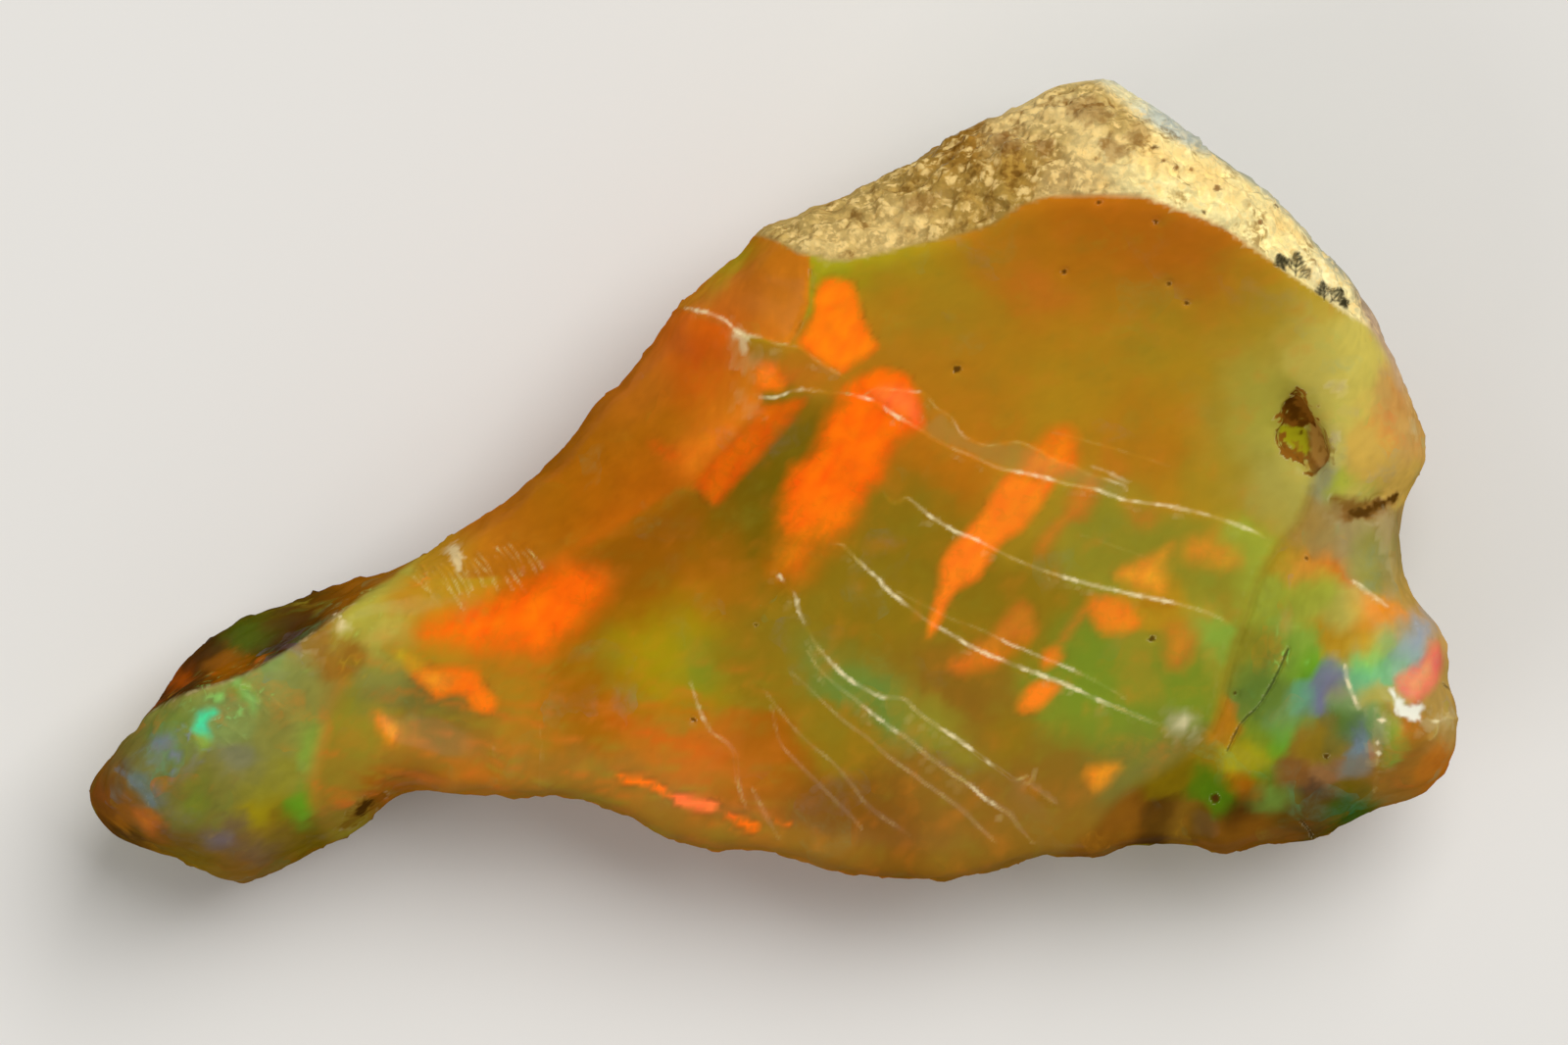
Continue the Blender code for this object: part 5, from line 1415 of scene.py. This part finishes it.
def near_detail(plan, facing, reach):
    """Which points of the front lie within reach of a line or a strong stain."""
    close = np.zeros(len(plan), bool)
    for trace in all_traces():
        gap, _ = Line(trace.points).measure(plan, trace.width + reach)
        close |= np.abs(gap) < trace.width / 2 + reach
    for stain in STAINS:
        depth = Line(stain.points, closed=True).depth(plan, 1.0)
        close |= (depth > -0.1 - reach) & (stain.cover > 0.6)
    return close & (facing[:, 2] > 0.1)


def on_rind(plan):
    """How far beyond the scar's edge each place of the rind lies."""
    gap, _ = Line(RIND_EDGE, step=BORDER_STEP).measure(plan)
    return gap


def refine(piece):
    """Splits the mesh once on the rind and near the fine detail, and again close to that."""
    for reach, with_rind in ((0.2, True), (0.06, False)):
        places, facing = read_points(piece.data)
        plan = places[:, :2]
        chosen = near_detail(plan, facing, reach)
        if with_rind:
            chosen |= (on_rind(plan) > -0.1) & (facing[:, 2] > 0.15) & (plan[:, 0] > -0.6)
        shape = bmesh.new()
        shape.from_mesh(piece.data)
        edges = [e for e in shape.edges if chosen[e.verts[0].index] and chosen[e.verts[1].index]]
        bmesh.ops.subdivide_edges(shape, edges=edges, cuts=1, use_grid_fill=True)
        bmesh.ops.triangulate(shape, faces=[f for f in shape.faces if len(f.verts) > 4])
        shape.to_mesh(piece.data)
        shape.free()
    add_smoothing(piece, 2)
    apply_modifiers(piece)


def step_height(plan, trace, share):
    """How far a line lifts the surface.

    A long step stands up on the right of its line and dies away from it. A short
    one is a plain bead along its line, and one below 0 is a groove.
    """
    if not trace.step:
        return 0
    line = Line(trace.points)
    gap, along = line.measure(plan, 2.0)
    total = line.lengths.sum()
    taper = min(0.6, total / 3)
    fade = ease(0, taper, along) * ease(total, total - taper, along)
    if trace.step < 0 or total < 1.0:
        return trace.step * (1 - ease(0.3 * trace.width, 0.9 * trace.width, np.abs(gap)))
    right = np.exp(-np.clip(-gap, 0, None) / 0.5)
    left = -0.35 * np.exp(-np.clip(gap, 0, None) / 0.3)
    rise = ease(0.05, -0.05, gap)
    return share * trace.step * fade * (left * (1 - rise) + right * rise)


def carve(piece, sizes):
    """Works the ledges, grain, pits and chips into the surface."""
    mesh = piece.data
    places, facing = read_points(mesh)
    plan = places[:, :2]
    front = on_front(facing)
    lift = sum(step_height(plan, trace, sizes.ledges) for trace in all_traces()) * front
    # The pits, whose rims are ragged.
    ragged = rough_field(places, 0.35, 1)
    for pit in PITS:
        depth = Line(pit.rim, closed=True).depth(plan, 1.0) + 0.12 * ragged
        lift -= pit.depth * ease(-0.03, 0.22, depth) * front
    # The grain of the rind on the front, and a finer grain on the back and underneath.
    crust = ease(-0.05, 0.25, on_rind(plan)) * ease(-0.8, 0.4, plan[:, 0]) * front
    coarse, fine = rough_field(places, 0.55, 2), rough_field(places, 0.22, 3)
    pitted = -np.clip(fine - 0.25, 0, None) * 1.6
    grain = sizes.grain / MM
    lift += grain * crust * (1.3 * coarse + 0.8 * fine + pitted)
    outer = ease(0.1, -0.3, facing[:, 2])
    lift += 0.8 * grain * outer * (coarse + 0.5 * fine)
    # The chips of the broken sides, and the lumps of the knob.
    broken = ease(0.75, 0.3, facing[:, 2]) * (1 - crust) * (1 - outer)
    facets = 1 - np.abs(rough_field(places, 0.9, 4)) * 2
    lift -= sizes.chips / MM * broken * (0.8 * facets + 0.5 * coarse)
    knobby = ease(12.5, 14.5, plan[:, 0]) * ease(1.5, 0.0, plan[:, 1]) * front
    lift += KNOB_LUMPS * knobby * rough_field(places, 1.5, 5)
    places += facing * lift[:, None]
    places[:, 2] = np.maximum(places[:, 2], 0)
    move_points(mesh, places)


def paint_body(plan, places, facing, colours):
    """The opal's own colour, and how strongly loose flashes play in it."""
    drift = 0.3 * bending(places, 1.1, 11) + 0.14 * bending(places, 0.35, 13)
    domains = pulled_in(places, 0.9, 15) + 0.5 * pulled_in(places, 0.35, 16)
    body = blend_patches(plan + drift + 0.35 * domains, SCAR_PATCHES, colours)
    # Streaks at the lower left, and a mottle all over.
    drawn = combed(plan + 0.4 * drift, COMB_HEADING, 1.5, 0.2, 17)
    lower_left = ease(1.5, -2.0, plan[:, 0]) * ease(-3.6, -5.0, plan[:, 1])
    mottle = rough_field(places, 0.7, 18) + 0.6 * rough_field(places, 0.25, 19)
    warm = 0.45 * ease(0.05, 0.6, drawn) * lower_left + 0.22 * ease(0.1, 0.9, mottle)
    cool = 0.35 * ease(0.05, 0.6, -drawn) * lower_left + 0.2 * ease(0.1, 0.9, -mottle)
    blend_in(body, shade_of(colours, "rust_glow"), warm)
    blend_in(body, shade_of(colours, "moss"), cool)
    dapple = 0.13 * rough_field(places, 0.16, 20) + 0.14 * mottle
    body *= 1 + 0.3 * dapple[:, None]
    play = np.full(len(plan), 0.1)
    for region in REGIONS:
        depth = Line(region.border, True, BORDER_STEP).depth(plan, 1.0)
        depth += 0.3 * drift[:, 0] * region.soft
        inside = ease(-region.soft, region.soft, depth)
        tint = blend_patches(plan + drift + region.facets * domains, region.patches, colours)
        blend_in(body, tint, inside)
        play += (region.play - play) * inside
        body *= 1 + (dapple * inside * (0.5 + region.facets))[:, None]
    back = ease(0.12, -0.3, facing[:, 2] + 0.6 * drift[:, 0])
    blend_in(body, blend_patches(plan + drift, BACK_PATCHES, colours), back)
    play += (0.5 - play) * back * ease(-0.85, -0.5, facing[:, 2])
    return body, play


def combed(places, heading, length, width, seed):
    """Noise drawn out into streaks along a heading."""
    ahead, aside = turned(places, (0, 0), heading)
    return rough_field(np.column_stack([ahead / length, aside / width, 0 * ahead]), 1.0, seed)


def paint_fire(plan, places, facing, colours):
    """The colour of the large flashes, and how strongly each place shows them."""
    wisp = 0.1 * rough_field(places, 0.4, 21) + 0.05 * rough_field(places, 0.16, 22)
    streak = combed(plan, FIRE_HEADING, 1.6, 0.22, 23)
    cloud = rough_field(places, 0.8, 24)
    dapple = 0.7 * rough_field(places, 0.45, 25) + 0.22 * rough_field(places, 0.14, 26)
    fire = Layer((0, 0, 0), len(plan))
    bent = places + 1.2 * np.column_stack([wisp, cloud, 0 * cloud])
    curl = ease(0.11, 0.03, np.abs(rough_field(bent, 0.4, 27))) * ease(-0.1, 0.3, dapple)
    for patch in CURLS:
        fire.lay(shade_of(colours, patch.colour), 0.7 * curl * np.exp(-far_from(plan, patch)))
    for flash in FLASHES:
        depth = Line(flash.points, closed=True).depth(plan, 1.5)
        depth += (wisp + 0.08 * streak) * min(1.0, flash.soft * 5)
        core = ease(-flash.soft, 3 * flash.soft, depth)
        texture = 1 - 0.35 * ease(0.0, 0.6, streak) * (1 - core) - 0.16 * ease(0.1, 0.6, cloud)
        share = flash.strength * ease(-1.4 * flash.soft, 1.4 * flash.soft, depth) * texture
        fire.lay(shade_of(colours, flash.colour) * (0.78 + 0.22 * core)[:, None], share)
    fire.shade[:, 1] *= 1 + 0.35 * dapple + 0.2 * streak
    fire.shade[:, 0] *= 1 + 0.08 * dapple
    return fire.shade, fire.cover * ease(-0.2, 0.15, facing[:, 2])


def paint_marks(plan, places, facing, colours):
    """The lines, specks, ferns and pits on the surface, with the painted highlights and glints
    among them, and how well they cover it.
    """
    frost_glint = shade_of(colours, "frost_glint")
    marks = Layer(frost_glint, len(plan))
    breaks = rough_field(places, 0.45, 31)
    x = plan[:, 0]
    frayed = 0.6 * rough_field(places, 0.13, 32) + 0.6 * rough_field(places, 0.32, 33)
    for stain in STAINS:
        depth = Line(stain.points, closed=True).depth(plan, 1.0) + stain.ragged * frayed
        share = stain.cover * ease(-stain.soft, stain.soft, depth)
        marks.lay(shade_of(colours, stain.colour), share)
    ragged = 0.05 * rough_field(places, 0.1, 34) + 0.04 * breaks
    sparkle = 0.35 + 0.65 * ease(-0.25, 0.3, rough_field(places, 0.2, 35))
    for trace in all_traces():
        shade = shade_of(colours, trace.colour)
        gap, _ = Line(trace.points).measure(plan, 0.6)
        off = np.abs(gap + ragged * min(1.0, 4 * trace.width))
        bright = np.zeros(len(plan))
        for first, last in trace.bright:
            bright += ease(first - 0.2, first + 0.1, x) * ease(last + 0.2, last - 0.1, x)
        half = trace.width * (0.25 + 0.24 * bright + 0.25 * breaks)
        share = 1 - ease(half - trace.soft, half + trace.soft, off)
        if trace.colour not in DARK_MARKS:
            share *= sparkle * ease(-0.4, 0.25, breaks + 0.3 * bright)
        # A high ledge shows a second, thinner strand of painted highlight beside it.
        if trace.step > HIGH_LEDGE:
            strand = np.abs(gap + 0.17 + 0.8 * ragged)
            twin = (1 - ease(0.015, 0.06, strand)) * ease(0.1, 0.4, breaks) * sparkle
            marks.lay(shade, 0.5 * twin * trace.cover)
        marks.lay(shade, share * trace.cover * (1 - bright))
        # Bright spans are painted in the glint white, as highlights where the ledge catches the
        # light.
        marks.lay(frost_glint, share * bright * min(0.78, trace.cover + 0.2))
    return marks.shade, marks.cover * ease(0.0, 0.2, facing[:, 2])


def paint(piece, colours):
    """Keeps the body, fire, marks and crust on the mesh, for the material to read."""
    mesh = piece.data
    places, facing = read_points(mesh)
    plan = places[:, :2]
    body, play = paint_body(plan, places, facing, colours)
    keep_colours(mesh, "body", body, np.ones(len(plan)))
    keep_colours(mesh, "fire", *paint_fire(plan, places, facing, colours))
    keep_colours(mesh, "marks", *paint_marks(plan, places, facing, colours))
    crust = ease(-0.04, 0.12, on_rind(plan)) * ease(-0.9, 0.0, plan[:, 0])
    skin = ease(0.0, 0.3, Line(SKIN_EDGE, step=BORDER_STEP).measure(plan)[0])
    resting = ease(-0.55, -0.85, facing[:, 2])
    crust = np.clip(np.maximum(crust * on_front(facing), resting), 0, 1)
    skin *= ease(-0.9, 0.0, plan[:, 0])
    dull = ease(0.7, 0.2, facing[:, 2])
    for name, values in zip(POINT_VALUES, (play, crust, skin, dull)):
        keep_values(mesh, name, values)


class Wiring:
    """Places nodes in a tree and joins them up."""

    def __init__(self, tree):
        self.tree = tree

    def feed(self, socket, value):
        if isinstance(value, bpy.types.NodeSocket):
            self.tree.links.new(value, socket)
        else:
            socket.default_value = value

    def node(self, kind, feeds=(), **settings):
        """A new node with these settings, and its inputs fed by name or number."""
        made = self.tree.nodes.new("ShaderNode" + kind)
        for name, value in settings.items():
            setattr(made, name, value)
        for name, value in dict(feeds).items():
            self.feed(made.inputs[name], value)
        return made

    def maths(self, operation, a, b=0.0, c=0.0, clamp=False):
        made = self.node("Math", {0: a, 1: b, 2: c}, operation=operation, use_clamp=clamp)
        return made.outputs[0]

    def times(self, a, b, clamp=False):
        return self.maths("MULTIPLY", a, b, clamp=clamp)

    def plus(self, a, b):
        return self.maths("ADD", a, b)

    def mix(self, share, a, b):
        """Colour a, passing into colour b as the share rises."""
        return self.node("Mix", {0: share, 6: a, 7: b}, data_type="RGBA").outputs[2]

    def fade(self, share, a, b):
        """Value a, passing into value b as the share rises."""
        return self.node("Mix", {0: share, 2: a, 3: b}).outputs[0]

    def scaled(self, vector, value):
        """A colour or a place, times a value."""
        return self.node("VectorMath", {0: vector, 3: value}, operation="SCALE").outputs[0]

    def between(self, value, low, high, to_low=0.0, to_high=1.0):
        """The value, mapped smoothly from one range to another."""
        feeds = {0: value, 1: low, 2: high, 3: to_low, 4: to_high}
        return self.node("MapRange", feeds, interpolation_type="SMOOTHSTEP").outputs[0]

    def lumps(self, place, scale, detail=2.0, distortion=0.0):
        """Noise with so many lumps to the millimetre."""
        feeds = {"Vector": place, "Scale": scale, "Detail": detail, "Distortion": distortion}
        return self.node("TexNoise", feeds).outputs

    def strayed(self, place, scale, reach):
        """The place, bent this far by lumps of this scale."""
        stray = self.scaled(self.lumps(place, scale)["Color"], reach)
        return self.node("VectorMath", {0: place, 1: stray}, operation="ADD").outputs[0]

    def kept(self, name):
        """What the mesh keeps under this name."""
        return self.node("Attribute", attribute_name=name).outputs


def new_group(name, inputs, outputs):
    """An empty node group with these sockets, given as (name, kind, default)."""
    tree = bpy.data.node_groups.new(name, "ShaderNodeTree")
    for label, kind, default in inputs:
        socket = tree.interface.new_socket(label, in_out="INPUT", socket_type="NodeSocket" + kind)
        if default is not None:
            socket.default_value = default
    for label, kind in outputs:
        tree.interface.new_socket(label, in_out="OUTPUT", socket_type="NodeSocket" + kind)
    wiring = Wiring(tree)
    entry = tree.nodes.new("NodeGroupInput")
    result = tree.nodes.new("NodeGroupOutput")
    return wiring, entry.outputs, result.inputs


def milky_clouds():
    """Soft darker and lighter clouds through the body of the opal."""
    wiring, given, result = new_group(
        "Milky Clouds",
        [("Place", "Vector", None), ("Depth", "Float", 0.12)],
        [("Value", "Float")],
    )
    large = wiring.lumps(given["Place"], 0.45, 3.0, 0.6)[0]
    small = wiring.lumps(given["Place"], 2.6, 3.0)[0]
    both = wiring.plus(wiring.times(large, 0.7), wiring.times(small, 0.3))
    swing = wiring.times(wiring.maths("SUBTRACT", both, 0.5), 2.0)
    wiring.feed(result["Value"], wiring.maths("MULTIPLY_ADD", swing, given["Depth"], 1.0))
    return wiring.tree


# The colours that a domain of loose fire may take, as light.
PLAY_STOPS = (
    (0.0, (0.80, 0.10, 0.01)), (0.25, (0.86, 0.20, 0.01)), (0.45, (0.50, 0.36, 0.02)),
    (0.62, (0.16, 0.42, 0.05)), (0.8, (0.06, 0.42, 0.20)), (1.0, (0.22, 0.20, 0.30)),
)  # fmt: skip


def lay_stops(ramp, stops):
    """Sets the colours of a ramp from (place, colour) pairs."""
    while len(ramp.elements) < len(stops):
        ramp.elements.new(0.5)
    for element, (place, colour) in zip(ramp.elements, stops):
        element.position = place
        element.color = (*colour, 1.0)


def play_of_colour():
    """Small loose flashes whose colour changes from one domain to the next."""
    wiring, given, result = new_group(
        "Play of Colour",
        [("Place", "Vector", None), ("Amount", "Float", 0.5)],
        [("Colour", "Color"), ("Cover", "Float")],
    )
    bent = wiring.strayed(given["Place"], 0.9, 1.4)
    cells = wiring.node("TexVoronoi", {"Vector": bent, "Scale": 0.85, "Randomness": 1.0})
    share = wiring.node("SeparateColor", {0: cells.outputs["Color"]})
    ramp = wiring.node("ValToRGB", {0: share.outputs[0]})
    lay_stops(ramp.color_ramp, PLAY_STOPS)
    patchy = wiring.lumps(given["Place"], 0.8, 3.0, 0.8)[0]
    streaky = wiring.lumps(given["Place"], 3.2, 2.0, 1.2)[0]
    window = wiring.between(patchy, 0.42, 0.72)
    broken = wiring.between(streaky, 0.3, 0.65, 0.3, 1.0)
    picked = wiring.between(share.outputs[1], 0.3, 0.8, 0.15, 1.0)
    cover = wiring.times(wiring.times(window, broken), picked)
    wiring.feed(result["Colour"], ramp.outputs[0])
    wiring.feed(result["Cover"], wiring.times(cover, given["Amount"], clamp=True))
    return wiring.tree


def crust_grain():
    """Chalky grains and brown crevices of the rind, with their height."""
    wiring, given, result = new_group(
        "Crust Grain",
        [("Place", "Vector", None)],
        [("Value", "Float"), ("Grain", "Float"), ("Stain", "Float"), ("Height", "Float")],
    )
    clumps = wiring.lumps(given["Place"], 1.1, 4.0, 0.7)[0]
    fine = wiring.lumps(given["Place"], 4.6, 3.0)[0]
    bent = wiring.strayed(given["Place"], 3.0, 0.5)
    cells = wiring.node("TexVoronoi", {"Vector": bent, "Scale": 3.4}).outputs["Distance"]
    kernels = wiring.between(cells, 0.3, 0.7, 1.0, 0.0)
    gathered = wiring.times(kernels, wiring.between(clumps, 0.38, 0.52))
    wiring.feed(result["Grain"], wiring.times(gathered, wiring.between(fine, 0.4, 0.55)))
    crevice = wiring.between(clumps, 0.36, 0.48, 1.0, 0.0)
    wiring.feed(result["Stain"], wiring.times(crevice, wiring.between(fine, 0.65, 0.4)))
    wiring.feed(result["Value"], wiring.between(fine, 0.3, 0.7, 0.78, 1.12))
    lumpy = wiring.plus(clumps, wiring.times(fine, 0.7))
    raised = wiring.plus(lumpy, wiring.times(kernels, 0.2))
    wiring.feed(result["Height"], wiring.times(raised, 3.0))
    return wiring.tree


def fine_hackle():
    """The faint ripples and grit of freshly broken opal, as a height."""
    wiring, given, result = new_group(
        "Fine Hackle", [("Place", "Vector", None)], [("Height", "Float")]
    )
    ripple = wiring.lumps(given["Place"], 1.6, 3.0, 1.0)[0]
    grit = wiring.lumps(given["Place"], 9.0, 2.0)[0]
    wiring.feed(result["Height"], wiring.plus(wiring.times(ripple, 0.8), wiring.times(grit, 0.2)))
    return wiring.tree


GLASSY = (0.3, 0.42)  # roughness of the fresh break, over its ripples
SIDE_ROUGHNESS = 0.6
RIND_ROUGHNESS = 0.85
CREVICE_TINT = (0.5, 0.36, 0.2)
OPAL_COAT = 0.12
OPAL_COAT_ROUGHNESS = 0.22
OPAL_IOR = 1.45
SPREAD = (1.0, 0.65, 0.3)  # how far red, green and blue light travel, as shares
BUMP_STRENGTH = 0.45
BUMP_HEIGHT = 0.00006
HACKLE_SHARE = 0.25  # the height of the ripples beside that of the rind's grain


def opal_material(sizes, colours):
    """The opal's finish: body, fire, rind, skin and marks, read from the mesh."""
    material = bpy.data.materials.new("opal")
    material.use_nodes = True
    wiring = Wiring(material.node_tree)
    surface = material.node_tree.nodes["Principled BSDF"]
    place = wiring.node("TexCoord").outputs["Object"]
    place = wiring.node("Mapping", {"Vector": place, "Scale": (1 / MM,) * 3}).outputs[0]
    body, fire, marks = wiring.kept("body")["Color"], wiring.kept("fire"), wiring.kept("marks")
    play, crust, skin, dull = (wiring.kept(name)["Fac"] for name in POINT_VALUES)

    feeds = {"Place": place}
    clouds = wiring.node("Group", feeds, node_tree=milky_clouds()).outputs["Value"]
    flecks = wiring.node("Group", {**feeds, "Amount": play}, node_tree=play_of_colour()).outputs
    grain = wiring.node("Group", feeds, node_tree=crust_grain()).outputs
    hackle = wiring.node("Group", feeds, node_tree=fine_hackle()).outputs["Height"]

    opal = wiring.scaled(body, clouds)
    opal = wiring.mix(flecks["Cover"], opal, flecks["Colour"])
    streaks = wiring.between(wiring.lumps(place, 3.5, 3.0, 0.8)[0], 0.3, 0.6, 0.8, 1.0)
    burning = wiring.times(fire["Alpha"], streaks)
    opal = wiring.mix(burning, opal, fire["Color"])
    chalk = wiring.scaled(body, grain["Value"])
    steeped = wiring.node("VectorMath", {0: chalk, 1: CREVICE_TINT}, operation="MULTIPLY")
    grainy = wiring.between(skin, 0.0, 1.0, 0.8, 0.2)
    chalk = wiring.mix(wiring.times(grain["Stain"], grainy), chalk, steeped.outputs[0])
    pale = (*light_value(colours.kernel), 1.0)
    chalk = wiring.mix(wiring.times(grain["Grain"], grainy), chalk, pale)
    rough_share = wiring.maths("MAXIMUM", crust, wiring.times(skin, 0.8))
    colour = wiring.mix(rough_share, opal, chalk)
    colour = wiring.mix(marks["Alpha"], colour, marks["Color"])
    wiring.feed(surface.inputs["Base Color"], colour)

    bare = wiring.maths("SUBTRACT", 1.0, wiring.maths("MAXIMUM", marks["Alpha"], rough_share))
    # The fire also glows where no mark or rind covers it: an emission that is painted light,
    # brighter than the lamps make it.
    glow = wiring.scaled(fire["Color"], wiring.times(burning, bare))
    wiring.feed(surface.inputs["Emission Color"], glow)
    surface.inputs["Emission Strength"].default_value = sizes.glow

    rough = wiring.between(hackle, 0.3, 0.7, *GLASSY)
    rough = wiring.fade(dull, rough, SIDE_ROUGHNESS)
    wiring.feed(surface.inputs["Roughness"], wiring.fade(rough_share, rough, RIND_ROUGHNESS))
    polish = wiring.times(bare, wiring.maths("SUBTRACT", 1.0, dull), clamp=True)
    coat = wiring.maths("MULTIPLY_ADD", polish, OPAL_COAT, 0.01)
    wiring.feed(surface.inputs["Coat Weight"], coat)
    surface.inputs["Coat Roughness"].default_value = OPAL_COAT_ROUGHNESS
    surface.inputs["IOR"].default_value = OPAL_IOR
    surface.inputs["Specular IOR Level"].default_value = 0.0
    surface.subsurface_method = "BURLEY"
    surface.inputs["Subsurface Weight"].default_value = sizes.depth
    surface.inputs["Subsurface Radius"].default_value = SPREAD
    surface.inputs["Subsurface Scale"].default_value = sizes.reach

    height = wiring.fade(rough_share, wiring.times(hackle, HACKLE_SHARE), grain["Height"])
    feeds = {"Strength": BUMP_STRENGTH, "Distance": BUMP_HEIGHT, "Height": height}
    wiring.feed(surface.inputs["Normal"], wiring.node("Bump", feeds).outputs[0])
    return material


class OPAL_OT_stone(bpy.types.Operator):
    """Makes the stone with its ledges, rind, fire and marks"""

    bl_idname = "opal.stone"
    bl_label = "Rough opal"

    def execute(self, context):
        sizes, colours = context.scene.opal_sizes, context.scene.opal_colours
        piece = fine_stone(sizes.grid)
        refine(piece)
        carve(piece, sizes)
        paint(piece, colours)
        piece.data.materials.clear()
        piece.data.materials.append(opal_material(sizes, colours))
        piece.data.shade_smooth()
        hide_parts(CAD_NODE)
        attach(piece, "root")
        return {"FINISHED"}


FLOOR_WIDTH = 8.0
FLOOR_ROUGHNESS = 0.7
FLOOR_SHINE = 0.2
SKY_SEEN = 0.95  # how bright the sky looks behind the floor
LIGHT_AIM = (0.0, 0.0, 0.005)
KEY_PLACE = (0.38, 0.5, 0.93)
KEY_WIDTH = 0.85
FILL_PLACE = (-0.7, -0.5, 0.6)
FILL_WIDTH = 0.6
VIEW_CENTRE = (0.0003125, -0.0010375)  # plan place under the camera
VIEW_HEIGHT = 0.0045  # the height at which the view is VIEW_WIDTH wide
VIEW_WIDTH = 0.040
SENSOR_WIDTH = 36.0


def floor_material(colour):
    material = bpy.data.materials.new("floor")
    material.use_nodes = True
    surface = material.node_tree.nodes["Principled BSDF"]
    surface.inputs["Base Color"].default_value = (*light_value(colour), 1.0)
    surface.inputs["Roughness"].default_value = FLOOR_ROUGHNESS
    surface.inputs["Specular IOR Level"].default_value = FLOOR_SHINE
    return material


def soft_light(name, place, aim, power, width):
    """A square area light that is not seen itself."""
    lamp = bpy.data.lights.new(name, "AREA")
    lamp.energy = power
    lamp.size = width
    light = bpy.data.objects.new(name, lamp)
    light.location = place
    towards = Vector(aim) - Vector(place)
    light.rotation_euler = towards.to_track_quat("-Z", "Y").to_euler()
    light.visible_camera = False
    bpy.context.scene.collection.objects.link(light)


class OPAL_OT_stage(bpy.types.Operator):
    """Makes the plain floor, the soft studio light and the camera above the stone"""

    bl_idname = "opal.stage"
    bl_label = "Studio stage"

    def execute(self, context):
        stage = context.scene.opal_stage
        shape = bmesh.new()
        bmesh.ops.create_grid(shape, x_segments=1, y_segments=1, size=FLOOR_WIDTH / 2)
        mesh = bpy.data.meshes.new("floor")
        shape.to_mesh(mesh)
        shape.free()
        mesh.materials.append(floor_material(stage.floor))
        floor = bpy.data.objects.new("floor", mesh)
        context.scene.collection.objects.link(floor)
        soft_light("key", KEY_PLACE, LIGHT_AIM, stage.key, KEY_WIDTH)
        soft_light("fill", FILL_PLACE, LIGHT_AIM, stage.fill, FILL_WIDTH)
        self.make_world(context, stage)
        self.make_camera(context, stage)
        context.scene.view_settings.view_transform = "Standard"
        return {"FINISHED"}

    def make_world(self, context, stage):
        """An even sky, dimmer as a light than it looks behind the floor."""
        world = bpy.data.worlds.new("studio")
        world.use_nodes = True
        wiring = Wiring(world.node_tree)
        sky = world.node_tree.nodes["Background"]
        wiring.feed(sky.inputs["Color"], (*light_value(stage.floor), 1.0))
        seen = wiring.node("LightPath").outputs["Is Camera Ray"]
        wiring.feed(sky.inputs["Strength"], wiring.fade(seen, stage.sky, SKY_SEEN))
        context.scene.world = world

    def make_camera(self, context, stage):
        """A long lens straight above the stone."""
        view = bpy.data.cameras.new("camera")
        view.sensor_width = SENSOR_WIDTH
        view.lens = stage.lens
        camera = bpy.data.objects.new("camera", view)
        distance = stage.lens / SENSOR_WIDTH * VIEW_WIDTH
        camera.location = (*VIEW_CENTRE, VIEW_HEIGHT + distance)
        view.clip_start, view.clip_end = distance / 100, distance * 20
        context.scene.collection.objects.link(camera)
        context.scene.camera = camera


class OPAL_PT_panel(bpy.types.Panel):
    """The makers and settings of the rough opal"""

    bl_label = "Rough Opal"
    bl_idname = "OPAL_PT_panel"
    bl_space_type = "VIEW_3D"
    bl_region_type = "UI"
    bl_category = "Opal"

    def draw(self, context):
        layout = self.layout
        scene = context.scene
        for operator in (OPAL_OT_stone, OPAL_OT_stage):
            layout.operator(operator.bl_idname)
        for settings in (scene.opal_sizes, scene.opal_stage, scene.opal_colours):
            box = layout.box()
            for name in settings.__annotations__:
                box.prop(settings, name)


CLASSES = (OpalColours, OpalSizes, StageSettings, OPAL_OT_stone, OPAL_OT_stage, OPAL_PT_panel)


def register():
    for kind in CLASSES:
        bpy.utils.register_class(kind)
    bpy.types.Scene.opal_colours = PointerProperty(type=OpalColours)
    bpy.types.Scene.opal_sizes = PointerProperty(type=OpalSizes)
    bpy.types.Scene.opal_stage = PointerProperty(type=StageSettings)


def unregister():
    del bpy.types.Scene.opal_stage
    del bpy.types.Scene.opal_sizes
    del bpy.types.Scene.opal_colours
    for kind in reversed(CLASSES):
        bpy.utils.unregister_class(kind)


def main():
    register()
    bpy.ops.opal.stone()
    bpy.ops.opal.stage()


if __name__ == "__main__":
    main()
